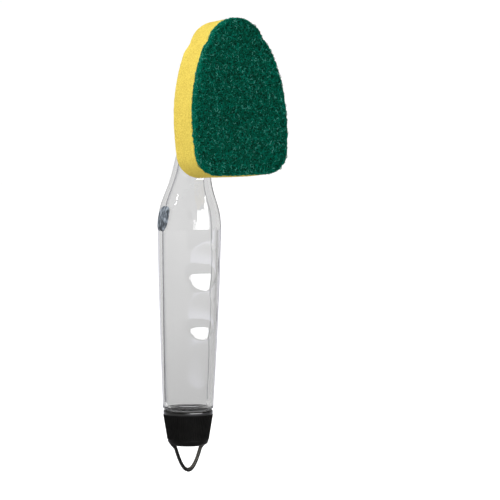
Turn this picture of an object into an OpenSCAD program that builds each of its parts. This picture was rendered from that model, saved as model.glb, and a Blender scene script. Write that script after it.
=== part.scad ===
// Dish wand. Two clear shells joined along the sides make a hollow handle that holds soap.
// A ribbed screw cap with a hanging loop closes its lower end, and a scrubbing head slides
// onto a tongue at the front of the neck.
// Z runs up along the handle and the scouring face looks towards -Y.
// The origin is the seat of the hanging loop, where a hook bears.

/* [Handle] */
// Radius of the round lower end of the grip
grip_r = 15.7; // [15.4:0.1:16]
// Half width of the shoulder, from side to side
shoulder_half_w = 18.4; // [17.6:0.1:19]
// Reach of the shoulder behind the handle axis
shoulder_back = 22; // [21:0.2:23]
// Reach of the shoulder in front of the handle axis
shoulder_front = 26; // [25:0.2:27]
// Height at which the shoulder is fullest
shoulder_z = 150; // [146:1:154]
// Half width of the slim neck behind the head
neck_half_w = 10.8; // [10.4:0.1:11.2]
// Wall of the clear shells
wall = 2.2; // [1.8:0.1:2.4]

/* [Finger scoops] */
// Number of scoops down the front of the grip
scoop_count = 3; // [0:1:3]
// Height of the top scoop's middle
scoop_top_z = 127; // [122:0.5:130]
// Distance from one scoop to the next
scoop_pitch = 30.8; // [30:0.1:33]
// Half width of a scoop
scoop_half_w = 11.5; // [9:0.5:13]
// Half height of a scoop
scoop_half_h = 14.6; // [12:0.5:15]
// Depth of a scoop
scoop_depth = 2.2; // [0:0.2:2.6]

/* [Neck finish and cap] */
// Height of the grip's lower edge, above the cap's rim
grip_z = 36.8; // [36.6:0.1:37.4]
// Length of the round threaded finish below the grip
finish_l = 12.5; // [11:0.5:12.5]
// Outer radius of the finish, at the root of its thread
finish_r = 11.7; // [11.6:0.1:11.8]
// Radius of the filling bore
filling_r = 10.3; // [9:0.1:10.4]
// Radius of the cap at its rim
cap_rim_r = 15.35; // [15:0.05:15.6]
// Radius of the cap at its lower edge
cap_foot_r = 12.7; // [12.4:0.1:13]
// Height of the cap's underside
cap_z = 14.4; // [14:0.1:15]
// Gap between the cap's rim and the grip
rim_gap = 0.4; // [0.3:0.1:0.8]
// Number of grip ribs round the cap
rib_count = 56; // [40:2:64]
// Depth of the grooves between the ribs
rib_depth = 0.45; // [0.2:0.05:0.6]

/* [Hanging loop] */
// Thickness of the loop's strap at its seat
strap_t = 2.5; // [2:0.1:3]
// Depth of the strap, from front to back
strap_d = 3.2; // [3:0.1:5]
// Half width of the loop at the cap's underside, outside
loop_half_w = 9.8; // [9.5:0.1:10.6]

/* [Head] */
// Width of the foam and the pad
head_w = 62.2; // [61:0.2:64]
// Length of the foam and the pad
head_l = 94.8; // [94:0.2:96]
// Thickness of the foam
foam_t = 25.5; // [22:0.5:28]
// Thickness of the scouring pad
pad_t = 6.2; // [5:0.2:8]
// Lean of the head, its tip towards the back
head_tilt = 6.2; // [5.8:0.1:6.6]
// Distance of the foam's back in front of the handle axis, at its middle
head_forward = 41.5; // [41:0.25:42]
// Height of the foam's middle
head_z = 230; // [229.5:0.25:230.5]
// Depth of the base behind the foam, at its socket
base_d = 19.5; // [19:0.1:20]
// Width of the socket
socket_w = 24; // [22:0.5:26]

/* [Thumb pad] */
// Height of the thumb pad's middle
thumb_z = 155.6; // [153:0.2:158]
// Half height of the thumb pad
thumb_half_h = 8; // [6:0.1:8.5]
// Half length of the thumb pad round the handle, as an angle
thumb_half_a = 17.5; // [14:0.5:20]
// Turn of the thumb pad from the seam towards the back, as an angle
thumb_turn = 2.5; // [0:0.5:5]
// Lean of the thumb pad, its top towards the front, as an angle
thumb_lean = 4; // [0:0.5:6]

/* [Hidden] */
$fn = 96;

// Handle outline. Reaches are measured forwards from the handle axis, so backs are negative.
// Each neck row holds height, half width, back, front and the seam's place.
neck_rows = [
    [shoulder_z, shoulder_half_w, -shoulder_back, shoulder_front, 2.0],
    [158, 17.6, -21.7, 25.5, 2.0],
    [164, 16.1, -20.6, 24.1, 2.0],
    [170, 14.1, -18.0, 22.4, 2.2],
    [176, 12.3, -14.7, 21.4, 3.4],
    [182, 11.2, -11.7, 22.4, 5.6],
    [188, neck_half_w, -8.9, 25.0, 8.2],
    [196, 10.4, -4.4, 25.0, 10.8],
    [204, 9.5, 1.6, 24.2, 13.4],
    [210, 7.5, 8.5, 23.5, 16.4],
    [213.4, 4.4, 14.6, 23.0, 19.2]
];
neck_top = [214.6, 19.9];
grip_straight_z = grip_z + 2.4;
// Floor of the grip, round the filling bore
floor_t = 0.9;
arc_n = 20;
front_steps = 27;
back_steps = 13;
neck_steps = 15;

// Cap
cap_top = grip_z - rim_gap;
finish_end = grip_z - finish_l;
cap_bore_r = finish_r + 1.05;
gasket_t = 1.95;
gasket_z = finish_end - 0.1 - gasket_t;
pocket_r = cap_bore_r - 1.75;
cap_floor = 2;
rib_band = [18.2, 33.9];

// Head, in its own axes: X across, Y from the wide end to the tip, Z out of the foam's back
side_r_low = 220;
side_r_high = 108;
wide_y = 32.5;
tip_r = 18.3;
wide_corner_r = 14.5;
// The sides end this far beyond the middle of the tip's arc, in a small step
side_end = 2.1;
tray_inset = 5.6;
tray_t = 4.6;
belly_d = 14;
socket_y = [8, 36];
tongue_y = [11, 30];
tongue_w = 15.4;
tongue_t = 3.5;
web_w = 10;
tongue_front = -12.7;
outlet_y = 20;
outlet_r = 2.6;
valve_r = 3.6;
valve_t = 3;
run_gap = 0.3;
stop_gap = 0.5;

// Values that blend from one to another
function mix(a, b, t) = a + (b - a) * t;
function mix_rows(a, b, t) = [for (i = [0 : len(a) - 1]) mix(a[i], b[i], t)];
function swell(t) = t * (1.5 - 0.5 * t);

// Row of a table whose first column is the height, on a smooth curve through its rows
function slope(rows, i) =
    let (lo = max(i - 1, 0), hi = min(i + 1, len(rows) - 1))
    (rows[hi] - rows[lo]) / (rows[hi][0] - rows[lo][0]);
function row_below(rows, z, i = 0) =
    i >= len(rows) - 2 || z < rows[i + 1][0] ? i : row_below(rows, z, i + 1);
function smooth_row(rows, z) =
    let (
        i = row_below(rows, z),
        h = rows[i + 1][0] - rows[i][0],
        t = (z - rows[i][0]) / h,
        t2 = t * t,
        t3 = t2 * t
    )
    rows[i] * (2 * t3 - 3 * t2 + 1) + slope(rows, i) * h * (t3 - 2 * t2 + t)
    + rows[i + 1] * (3 * t2 - 2 * t3) + slope(rows, i + 1) * h * (t3 - t2);

// Outline of the handle at a height: half width, back, front and seam
function outline_at(z) =
    z >= shoulder_z ? [for (i = [1 : 4]) smooth_row(neck_rows, z)[i]]
    : let (t = swell(max(0, (z - grip_straight_z) / (shoulder_z - grip_straight_z))))
    mix_rows([grip_r, -grip_r, grip_r, 0], [for (i = [1 : 4]) neck_rows[0][i]], t);

// Depth of the finger scoops at a place on the front
function scoop_at(x, z, i = 0) =
    i >= scoop_count ? 0
    : max(
        0,
        scoop_depth * (1 - pow(x / scoop_half_w, 2)
            - pow((z - scoop_top_z + i * scoop_pitch) / scoop_half_h, 2))
    ) + scoop_at(x, z, i + 1);

// Point of the handle's skin, inset by some thickness. Side is 1 for the front, -1 for the back.
// The angle runs from the left seam at 0 to the right seam at 180.
function skin_point(z, angle, side, inset) =
    let (
        o = outline_at(z),
        reach = (side > 0 ? o[2] : o[1]) - o[3],
        x = -(o[0] - inset) * cos(angle),
        scoop = side > 0 ? scoop_at(-o[0] * cos(angle), z) : 0
    )
    [x, -o[3] - (reach - side * inset) * sin(angle) + scoop * sin(angle), z];
function skin_ring(z, side, inset) =
    [for (j = [0 : arc_n]) skin_point(z, 180 * j / arc_n, side, inset)];
function round_ring(r, z, side) =
    [for (j = [0 : arc_n]) let (a = 180 * j / arc_n) [-r * cos(a), -side * r * sin(a), z]];

// Heights of the rings above the grip's straight end
function ring_heights(grip_steps) = concat(
    [for (i = [0 : grip_steps - 1]) mix(grip_straight_z + 2.4, shoulder_z, i / grip_steps)],
    [for (i = [0 : neck_steps]) mix(shoulder_z, neck_rows[len(neck_rows) - 1][0], i / neck_steps)]
);

// Half of the handle: an outer and an inner skin of the same rings, joined along the seam
module half_shell(side, grip_steps) {
    heights = ring_heights(grip_steps);
    top_share = (neck_top[0] - wall - heights[0]) / (neck_top[0] - heights[0]);
    outer = concat(
        [round_ring(grip_r - 0.9, grip_z, side), round_ring(grip_r - 0.25, grip_z + 0.7, side)],
        [skin_ring(grip_straight_z, side, 0)],
        [for (z = heights) skin_ring(z, side, 0)]
    );
    inner = concat(
        [round_ring(filling_r + 0.1, grip_z, side), round_ring(filling_r + 0.1, grip_z + floor_t, side)],
        [round_ring(grip_r - wall - 0.9, grip_z + floor_t + 0.4, side)],
        [for (z = heights) skin_ring(mix(heights[0], z, top_share), side, wall)]
    );
    n = arc_n + 1;
    rings = len(outer);
    points = concat(
        [for (ring = outer) each ring], [for (ring = inner) each ring],
        [[0, -neck_top[1], neck_top[0]], [0, -neck_top[1], neck_top[0] - wall]]
    );
    shift = rings * n;
    outer_top = 2 * shift;
    inner_top = outer_top + 1;
    last = shift - n;
    skin = [for (i = [0 : rings - 2], j = [0 : arc_n - 1]) let (p = i * n + j)
        each [[p, p + n, p + 1], [p + 1, p + n, p + n + 1]]];
    lining = [for (f = skin) [f[0] + shift, f[2] + shift, f[1] + shift]];
    lower_edge = [for (j = [0 : arc_n - 1]) each [[j, j + 1, shift + j], [j + 1, shift + j + 1, shift + j]]];
    upper_skin = [for (j = [0 : arc_n - 1]) [last + j, outer_top, last + j + 1]];
    upper_lining = [for (j = [0 : arc_n - 1]) [shift + last + j, shift + last + j + 1, inner_top]];
    left_seam = [for (i = [0 : rings - 2]) let (p = i * n)
        each [[p, shift + p, p + n], [p + n, shift + p, shift + p + n]]];
    right_seam = [for (i = [0 : rings - 2]) let (p = i * n + arc_n)
        each [[p, p + n, shift + p], [p + n, shift + p + n, shift + p]]];
    top_seam = [
        [last, shift + last, outer_top], [outer_top, shift + last, inner_top],
        [last + arc_n, outer_top, shift + last + arc_n],
        [outer_top, inner_top, shift + last + arc_n]
    ];
    faces = concat(
        skin, lining, lower_edge, upper_skin, upper_lining, left_seam, right_seam, top_seam
    );
    polyhedron(points, side > 0 ? faces : [for (f = faces) [f[0], f[2], f[1]]], convexity = 6);
}

// Half of the round finish that carries the cap's thread
module half_finish(side) {
    rotate_extrude(angle = 180, start = side > 0 ? 180 : 0)
        polygon([
            [filling_r, finish_end], [finish_r - 0.4, finish_end], [finish_r, finish_end + 0.4],
            [finish_r, grip_z + floor_t / 2], [filling_r, grip_z + floor_t / 2]
        ]);
}

// Places what is drawn in the head's own axes
module in_head() {
    translate([0, -head_forward, head_z])
        rotate([90 - head_tilt, 0, 0])
            translate([0, -head_l / 2, 0])
                children();
}

// Tongue on the front of the neck, with the soap outlet through it
module tongue() {
    translate([-tongue_w / 2, tongue_y[0], tongue_front - tongue_t])
        cube([tongue_w, tongue_y[1] - tongue_y[0], tongue_t]);
    translate([-web_w / 2, tongue_y[0], -base_d - 3.6])
        cube([web_w, tongue_y[1] - tongue_y[0] - 2, base_d + 3.6 + tongue_front - tongue_t / 2]);
}

module outlet_holes() {
    translate([0, outlet_y, -base_d - 6])
        cylinder(r = outlet_r, h = base_d + 6);
    translate([0, outlet_y, tongue_front - valve_t])
        cylinder(r = valve_r, h = valve_t + 1);
}

module front_shell() {
    color([0.86, 0.87, 0.89, 0.45])
        difference() {
            union() {
                half_shell(1, front_steps);
                half_finish(1);
                in_head() tongue();
            }
            in_head() outlet_holes();
        }
}

module back_shell() {
    color([0.86, 0.87, 0.89, 0.45])
        union() {
            half_shell(-1, back_steps);
            half_finish(-1);
        }
}

// Direction along the handle's left side, from a height and an angle round the seam
function side_point(z, a, proud) =
    let (p = skin_point(z, abs(a), a >= 0 ? 1 : -1, 0), o = outline_at(z))
    let (mid = [0, -o[3], z], out = (p - mid) / norm(p - mid))
    p + out * proud;

// Domed rubber pad that lies on the left side of the shoulder, over the seam
module thumb_pad() {
    rings = 5;
    n = 24;
    function disc_ring(r, proud) = [for (j = [0 : n - 1]) let (t = 360 * j / n)
        side_point(
            thumb_z + thumb_half_h * r * sin(t),
            thumb_half_a * r * cos(t) + thumb_lean * r * sin(t) - thumb_turn,
            proud
        )];
    shares = [for (i = [0 : rings - 1]) 1 - i / rings];
    top = [for (r = shares) disc_ring(r, 0.35 + 0.75 * sqrt(1 - 0.94 * r * r))];
    bottom = [for (r = shares) disc_ring(r, 0.06)];
    points = concat(
        [for (ring = top) each ring], [for (ring = bottom) each ring],
        [side_point(thumb_z, -thumb_turn, 1.1), side_point(thumb_z, -thumb_turn, 0.06)]
    );
    shift = rings * n;
    function band(i, j) = let (p = i * n + j, q = i * n + (j + 1) % n)
        [[p, q, p + n], [q, q + n, p + n]];
    dome = [for (i = [0 : rings - 2], j = [0 : n - 1]) each band(i, j)];
    seat = [for (f = dome) [f[0] + shift, f[2] + shift, f[1] + shift]];
    edge = [for (j = [0 : n - 1]) let (k = (j + 1) % n)
        each [[j, shift + j, k], [k, shift + j, shift + k]]];
    crown = [for (j = [0 : n - 1]) let (p = shift - n + j, q = shift - n + (j + 1) % n)
        [p, q, 2 * shift]];
    sole = [for (f = crown) [f[0] + shift, 2 * shift + 1, f[1] + shift]];
    color([0.27, 0.3, 0.34])
        polyhedron(points, concat(dome, seat, edge, crown, sole), convexity = 4);
}

// Soft valve pressed into the tongue, with a thin lip across the outlet
module outlet_valve() {
    color([0.8, 0.8, 0.78])
        in_head()
            translate([0, outlet_y, tongue_front - valve_t])
                difference() {
                    cylinder(r = valve_r, h = valve_t);
                    translate([0, 0, -1])
                        cylinder(r = outlet_r - 0.5, h = valve_t + 0.2);
                }
}

// Skin of the cap: smooth below and at the rim, ribbed between
module cap_skin() {
    n = 2 * rib_count;
    taper = (cap_rim_r - cap_foot_r) / (rib_band[1] - cap_z - 1.4);
    function cap_r(z) = cap_foot_r + taper * (z - cap_z - 1.4);
    function ring(r, z, cut) = [for (j = [0 : n - 1]) let (a = 360 * j / n, q = r - cut * (j % 2))
        [q * cos(a), q * sin(a), z]];
    rings = [
        ring(cap_foot_r - 2.6, cap_z, 0),
        ring(cap_foot_r - 0.8, cap_z + 0.4, 0),
        ring(cap_foot_r, cap_z + 1.4, 0),
        ring(cap_r(rib_band[0]), rib_band[0], 0),
        ring(cap_r(rib_band[0] + 0.5), rib_band[0] + 0.5, rib_depth),
        ring(cap_r(rib_band[1]) - 0.15, rib_band[1] - 0.3, rib_depth),
        ring(cap_rim_r, rib_band[1], 0),
        ring(cap_rim_r, cap_top - 0.8, 0),
        ring(cap_rim_r - 1.1, cap_top, 0)
    ];
    bands = [for (i = [0 : len(rings) - 2], j = [0 : n - 1]) let (p = i * n + j, q = i * n + (j + 1) % n)
        each [[p, p + n, q], [q, p + n, q + n]]];
    last = (len(rings) - 1) * n;
    lids = [[for (j = [0 : n - 1]) j], [for (j = [0 : n - 1]) last + n - 1 - j]];
    polyhedron([for (r = rings) each r], concat(bands, lids), convexity = 4);
}

// Strap of the hanging loop: the space between two parabolas, flared into the cap
module loop_strap() {
    outer_k = (cap_z + strap_t) / pow(loop_half_w, 2);
    inner_k = 0.21;
    inner_half_w = 7.3;
    steps = 12;
    flare_x = loop_half_w * 0.93;
    outer = [for (i = [-steps : steps]) let (x = flare_x * i / steps)
        [x, outer_k * x * x - strap_t]];
    inner = [for (i = [-steps : steps]) let (x = inner_half_w * i / steps)
        [x, inner_k * x * x]];
    flare = [
        [loop_half_w - 0.1, cap_z - 1.3], [loop_half_w + 1.2, cap_z - 0.4], [cap_foot_r - 0.7, cap_z + 0.8]
    ];
    root = concat(flare, [for (i = [2 : -1 : 0]) [-flare[i][0], flare[i][1]]]);
    brow = [[inner_half_w - 0.8, cap_z - 0.4], [0.8 - inner_half_w, cap_z - 0.4]];
    rotate([90, 0, 0])
        translate([0, 0, -strap_d / 2])
            linear_extrude(strap_d)
                difference() {
                    polygon(concat(outer, root));
                    polygon(concat(inner, brow));
                }
}

module end_cap() {
    color([0.07, 0.07, 0.08])
        difference() {
            union() {
                cap_skin();
                loop_strap();
            }
            translate([0, 0, gasket_z - 0.05])
                cylinder(r = cap_bore_r, h = cap_top);
            translate([0, 0, cap_z + cap_floor])
                cylinder(r = pocket_r, h = cap_top);
        }
}

module cap_gasket() {
    color([0.2, 0.2, 0.21])
        translate([0, 0, gasket_z])
            difference() {
                cylinder(r = cap_bore_r - 0.15, h = gasket_t);
                translate([0, 0, -1])
                    cylinder(r = filling_r - 0.1, h = gasket_t + 2);
            }
}

// Outline of the head, inset by some distance: side arcs, round wide corners and a round tip
// that stands a little inside the sides
function arc_points(c, r, a0, a1, n) =
    [for (i = [0 : n]) let (a = mix(a0, a1, i / n)) [c[0] + r * cos(a), c[1] + r * sin(a)]];
function head_outline(inset) =
    let (
        half = head_w / 2 - inset,
        corner_r = wide_corner_r - inset,
        low_r = side_r_low - inset,
        high_r = side_r_high - inset,
        tip = [0, head_l - tip_r],
        corner_x = half - low_r + sqrt(pow(low_r - corner_r, 2) - pow(wide_y - wide_corner_r, 2)),
        corner = [corner_x, wide_corner_r],
        low_a = -atan2(wide_y - wide_corner_r, corner_x - half + low_r),
        high_a = asin((tip[1] + side_end - wide_y) / high_r),
        right = concat(
            [[corner_x * 0.5, inset]],
            arc_points(corner, corner_r, -90, low_a, 7),
            arc_points([half - low_r, wide_y], low_r, low_a * 0.6, 0, 2),
            [for (p = arc_points([half - high_r, wide_y], high_r, 0, high_a, 8)) if (p[1] > wide_y) p],
            arc_points(tip, tip_r - inset, 10, 90, 8)
        )
    )
    concat(right, [for (i = [len(right) - 2 : -1 : 0]) [-right[i][0], right[i][1]]]);

// Solid with the head's outline, built up in layers of inset and depth
module head_layers(layers) {
    outline = [for (l = layers) [for (p = head_outline(l[0])) [p[0], p[1], l[1]]]];
    n = len(outline[0]);
    last = (len(layers) - 1) * n;
    lid = len(layers) * n;
    middles = [for (l = [layers[0], layers[len(layers) - 1]]) [0, head_l / 2, l[1]]];
    bands = [for (i = [0 : len(layers) - 2], j = [0 : n - 1])
        let (p = i * n + j, q = i * n + (j + 1) % n)
        each [[p, p + n, q], [q, p + n, q + n]]];
    lids = [for (j = [0 : n - 1]) let (k = (j + 1) % n)
        each [[j, k, lid], [last + k, last + j, lid + 1]]];
    polyhedron(concat([for (ring = outline) each ring], middles), concat(bands, lids), convexity = 4);
}

module rounded_block(w, y0, y1, r) {
    hull()
        for (x = [-1, 1], y = [y0 + r, y1 - r])
            translate([x * (w / 2 - r), y])
                circle(r, $fn = 32);
}

// Moulded base: a tray under the foam, a belly that tapers to the tip and the sliding socket
module head_base() {
    color([0.06, 0.06, 0.07])
        in_head()
            difference() {
                union() {
                    translate([0, 0, -tray_t])
                        linear_extrude(tray_t)
                            polygon(head_outline(tray_inset));
                    hull() {
                        translate([0, 0, -tray_t])
                            linear_extrude(0.4)
                                polygon(head_outline(tray_inset + 0.8));
                        translate([0, 0, -belly_d])
                            linear_extrude(0.2)
                                rounded_block(socket_w + 2, socket_y[0] - 0.5, socket_y[1] + 8, 5);
                    }
                    translate([0, 0, -base_d])
                        linear_extrude(base_d - 6)
                            rounded_block(socket_w, socket_y[0], socket_y[1], 3);
                }
                translate([-tongue_w / 2 - run_gap, -1, tongue_front - tongue_t - run_gap])
                    cube([tongue_w + 2 * run_gap, tongue_y[1] + stop_gap + 1, tongue_t + 2 * run_gap]);
                translate([-web_w / 2 - run_gap, -1, -base_d - 1])
                    cube([web_w + 2 * run_gap, tongue_y[1] + stop_gap + 1, 4.5]);
                translate([0, outlet_y, tongue_front])
                    cylinder(r = outlet_r, h = -tongue_front + 1);
            }
}

module foam_block() {
    color([0.96, 0.86, 0.35])
        in_head()
            head_layers([
                [1.2, 0], [0.3, 0.6], [0, 2], [0.4, foam_t * 0.5], [0, foam_t - 0.8], [0.2, foam_t]
            ]);
}

module scour_pad() {
    color([0.02, 0.4, 0.27])
        in_head()
            head_layers([[0.2, foam_t], [0, foam_t + 0.8], [0, foam_t + pad_t - 1.2], [1, foam_t + pad_t]]);
}

front_shell();
back_shell();
thumb_pad();
outlet_valve();
end_cap();
cap_gasket();
head_base();
foam_block();
scour_pad();
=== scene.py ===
"""Dish wand: a clear soap-filled handle, a ribbed screw cap with a hanging loop, and a scrubbing head.

Sizes are in millimetres in the row frame: Z up along the handle, the scouring face towards -Y. Meshes are
written in metres. The head's own axes are X across, Y from the wide end to the tip and Z from the foam's
back to the pad. The studio's sizes are in metres.
"""

import logging
import math
from dataclasses import dataclass, field
from enum import Enum
from typing import Callable, Iterable, Optional, Sequence

import bmesh
import bpy
import numpy as np
from mathutils import Matrix, Vector, noise


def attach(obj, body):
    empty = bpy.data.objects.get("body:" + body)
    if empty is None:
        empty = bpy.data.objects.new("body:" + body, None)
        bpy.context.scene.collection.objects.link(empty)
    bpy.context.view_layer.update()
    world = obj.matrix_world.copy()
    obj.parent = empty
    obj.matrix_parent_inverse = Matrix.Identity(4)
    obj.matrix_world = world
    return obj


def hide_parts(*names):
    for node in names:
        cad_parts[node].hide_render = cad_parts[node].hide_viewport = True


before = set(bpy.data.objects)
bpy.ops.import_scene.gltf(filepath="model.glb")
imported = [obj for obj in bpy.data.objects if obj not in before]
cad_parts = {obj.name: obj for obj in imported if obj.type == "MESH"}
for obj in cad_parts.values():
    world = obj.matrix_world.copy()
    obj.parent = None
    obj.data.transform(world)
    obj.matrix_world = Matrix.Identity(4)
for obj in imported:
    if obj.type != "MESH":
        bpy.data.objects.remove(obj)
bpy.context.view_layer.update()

MM = 0.001
FULL_TURN = 2 * math.pi
LOG = logging.getLogger("dish_wand")

Point = tuple[float, float, float]
FlatPoint = tuple[float, float]
Pair = tuple[float, float]
Face = tuple[int, ...]
Value = bpy.types.NodeSocket | float


class Body(Enum):
    """The CAD bodies that pieces ride on."""

    HANDLE = "handle"
    GASKET = "gasket"
    CAP = "cap"
    HEAD = "head"


class Half(Enum):
    """The two shells of the handle: which way each bulges."""

    FRONT = 1
    BACK = -1


def mix(a: float, b: float, t: float) -> float:
    """Value a share t of the way from a to b."""
    return a + (b - a) * t


def smoothstep(t: float) -> float:
    """Share that eases from 0 to 1."""
    t = min(max(t, 0.0), 1.0)
    return t * t * (3 - 2 * t)


# Meshes


def mesh_object(name: str, points: Sequence[Sequence[float]], faces: Iterable[Face],
                sharp_angle: float = 40.0, place: Optional[Matrix] = None) -> bpy.types.Object:
    """Object with a smooth-shaded mesh.

    Args:
        name: Name of the piece.
        points: Vertices in millimetres.
        faces: Faces as vertex indices.
        sharp_angle: Edges that turn more than this many degrees stay sharp.
        place: Where the points' own axes lie in the row frame, in millimetres.

    Returns:
        The linked object, at the origin, with its faces outwards.
    """
    mesh = bpy.data.meshes.new(name)
    mesh.from_pydata([tuple(p) for p in points], [], [tuple(f) for f in faces])
    if place is not None:
        mesh.transform(place)
    mesh.transform(Matrix.Scale(MM, 4))
    obj = bpy.data.objects.new(name, mesh)
    bpy.context.scene.collection.objects.link(obj)
    tidy_mesh(obj, sharp_angle)
    return obj


def tidy_mesh(obj: bpy.types.Object, sharp_angle: float = 40.0) -> None:
    """Merges doubles, turns the faces of a closed piece outwards and sets smooth shading with sharp edges.

    Args:
        obj: The piece.
        sharp_angle: Edges that turn more than this many degrees stay sharp.
    """
    work = bmesh.new()
    work.from_mesh(obj.data)
    bmesh.ops.remove_doubles(work, verts=work.verts, dist=1e-7)
    bmesh.ops.recalc_face_normals(work, faces=work.faces)
    if work.calc_volume(signed=True) < 0:
        bmesh.ops.reverse_faces(work, faces=work.faces)
    work.to_mesh(obj.data)
    work.free()
    obj.data.shade_smooth()
    obj.data.set_sharp_from_angle(angle=math.radians(sharp_angle))


def quarter_round(steps: int) -> list[Pair]:
    """Sine and one minus cosine at even steps of a quarter turn, for a rounded edge.

    Args:
        steps: How many steps the edge has.

    Returns:
        The pairs, from (0, 0) to (1, 1).
    """
    turns = [math.pi / 2 * i / steps for i in range(steps + 1)]
    return [(math.sin(turn), 1 - math.cos(turn)) for turn in turns]


def arc(centre: FlatPoint, r: float, start: float, end: float, steps: int) -> list[FlatPoint]:
    """Points along an arc.

    Args:
        centre: Its centre.
        r: Its radius.
        start: Angle of its first point, in radians.
        end: Angle of its last point.
        steps: How many steps it has.

    Returns:
        The points.
    """
    return [(centre[0] + r * math.cos(mix(start, end, i / steps)),
             centre[1] + r * math.sin(mix(start, end, i / steps))) for i in range(steps + 1)]


def divided(ring: Sequence[FlatPoint], longest: float = 0.5) -> list[FlatPoint]:
    """A closed ring with its long straight runs divided.

    Args:
        ring: Its points.
        longest: How long a run may be before it is divided, in millimetres.

    Returns:
        The points.
    """
    out = []
    for (x0, y0), (x1, y1) in zip(ring, list(ring[1:]) + [ring[0]]):
        steps = max(1, int(math.hypot(x1 - x0, y1 - y0) / longest))
        out += [(mix(x0, x1, k / steps), mix(y0, y1, k / steps)) for k in range(steps)]
    return out


def even_points(path: Sequence[FlatPoint], count: int) -> list[FlatPoint]:
    """Evenly spaced points along a path.

    Args:
        path: Its points.
        count: How many points to make.

    Returns:
        The points, from the path's first to its last.
    """
    plain = np.array(path)
    run = np.concatenate([[0], np.cumsum(np.hypot(*np.diff(plain, axis=0).T))])
    even = np.linspace(0, run[-1], count)
    return [(float(np.interp(e, run, plain[:, 0])), float(np.interp(e, run, plain[:, 1]))) for e in even]


def grid_faces(rows: int, columns: int, closed: bool, first: int = 0) -> list[Face]:
    """Quads between rows of vertices.

    Args:
        rows: Number of rows.
        columns: Vertices in a row.
        closed: Whether each row joins up with itself.
        first: Index of the first vertex.

    Returns:
        The faces.
    """
    spans = columns if closed else columns - 1
    faces = []
    for i in range(rows - 1):
        low = first + i * columns
        high = low + columns
        for j in range(spans):
            k = (j + 1) % columns
            faces.append((low + j, low + k, high + k, high + j))
    return faces


def applied(obj: bpy.types.Object, name: Optional[str] = None) -> bpy.types.Object:
    """Turns an object with its modifiers into a plain mesh.

    Args:
        obj: The object; it is removed.
        name: Name of the result, or None to keep the object's own.

    Returns:
        A new object that holds the evaluated mesh and no modifier.
    """
    name = name or obj.name
    graph = bpy.context.evaluated_depsgraph_get()
    graph.update()
    mesh = bpy.data.meshes.new_from_object(obj.evaluated_get(graph), preserve_all_data_layers=True,
                                           depsgraph=graph)
    bpy.data.objects.remove(obj)
    mesh.name = name
    result = bpy.data.objects.new(name, mesh)
    bpy.context.scene.collection.objects.link(result)
    return result


def combined(obj: bpy.types.Object, other: bpy.types.Object, operation: str) -> bpy.types.Object:
    """Boolean of two closed pieces.

    Args:
        obj: The piece that is kept.
        other: The piece that is joined or cut away; it is removed.
        operation: UNION or DIFFERENCE.

    Returns:
        The result, as a plain mesh.
    """
    cut = obj.modifiers.new("cut", "BOOLEAN")
    cut.operation = operation
    cut.solver = "EXACT"
    cut.object = other
    result = applied(obj)
    bpy.data.objects.remove(other)
    return result


def remeshed(obj: bpy.types.Object, voxel: float) -> bpy.types.Object:
    """Even quads over a closed piece, with its edges softened.

    Args:
        obj: The piece; it is removed.
        voxel: Size of a voxel in millimetres.

    Returns:
        The remeshed piece.
    """
    remesh = obj.modifiers.new("remesh", "REMESH")
    remesh.mode = "VOXEL"
    remesh.voxel_size = voxel * MM
    remesh.use_smooth_shade = True
    return applied(obj)


def pushed(obj: bpy.types.Object, height: Callable[[Vector, Vector], float]) -> None:
    """Moves each vertex along its normal.

    Args:
        obj: The piece.
        height: Distance in millimetres, from a vertex's place in millimetres and its normal.
    """
    mesh = obj.data
    normals = [v.normal.copy() for v in mesh.vertices]
    for vertex, normal in zip(mesh.vertices, normals):
        vertex.co += normal * height(vertex.co / MM, normal) * MM
    mesh.update()


def uneven(place: Vector, wave: Pair, shift: Point = (0.0, 0.0, 0.0)) -> float:
    """Height of an unevenness.

    Args:
        place: Where, in millimetres.
        wave: Its size and its greatest height, in millimetres.
        shift: Offset that sets it apart from another one.

    Returns:
        The height in millimetres.
    """
    size, height = wave
    return noise.noise(place / size + Vector(shift)) * height


def rounded_box(name: str, low: Point, high: Point, radius: float, place: Matrix) -> bpy.types.Object:
    """Box with rounded edges.

    Args:
        name: Name of the piece.
        low: Its lowest corner in millimetres, in its own axes.
        high: Its highest corner.
        radius: Radius of the edges, or 0 for plain ones.
        place: Where those axes lie in the row frame.

    Returns:
        The box as a plain mesh.
    """
    corners = [(x, y, z) for z in (low[2], high[2]) for y in (low[1], high[1]) for x in (low[0], high[0])]
    faces = [(0, 2, 3, 1), (4, 5, 7, 6), (0, 1, 5, 4), (2, 6, 7, 3), (0, 4, 6, 2), (1, 3, 7, 5)]
    box = mesh_object(name, corners, faces, place=place)
    if radius > 0:
        bevel = box.modifiers.new("round", "BEVEL")
        bevel.width = radius * MM
        bevel.segments = 3
        box = applied(box)
        tidy_mesh(box)
    return box


def rod(name: str, radius: float, low: float, high: float, centre: FlatPoint,
        place: Matrix, sides: int = 48) -> bpy.types.Object:
    """Round rod along its own Z axis.

    Args:
        name: Name of the piece.
        radius: Its radius in millimetres.
        low: Where it starts.
        high: Where it ends.
        centre: Its axis.
        place: Where its axes lie in the row frame.
        sides: Number of sides.

    Returns:
        The rod.
    """
    ring = [(centre[0] + radius * math.cos(FULL_TURN * j / sides),
             centre[1] + radius * math.sin(FULL_TURN * j / sides)) for j in range(sides)]
    points = [(x, y, z) for z in (low, high) for x, y in ring]
    faces = grid_faces(2, sides, closed=True)
    faces += [tuple(reversed(range(sides))), tuple(range(sides, 2 * sides))]
    return mesh_object(name, points, faces, place=place)


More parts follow.
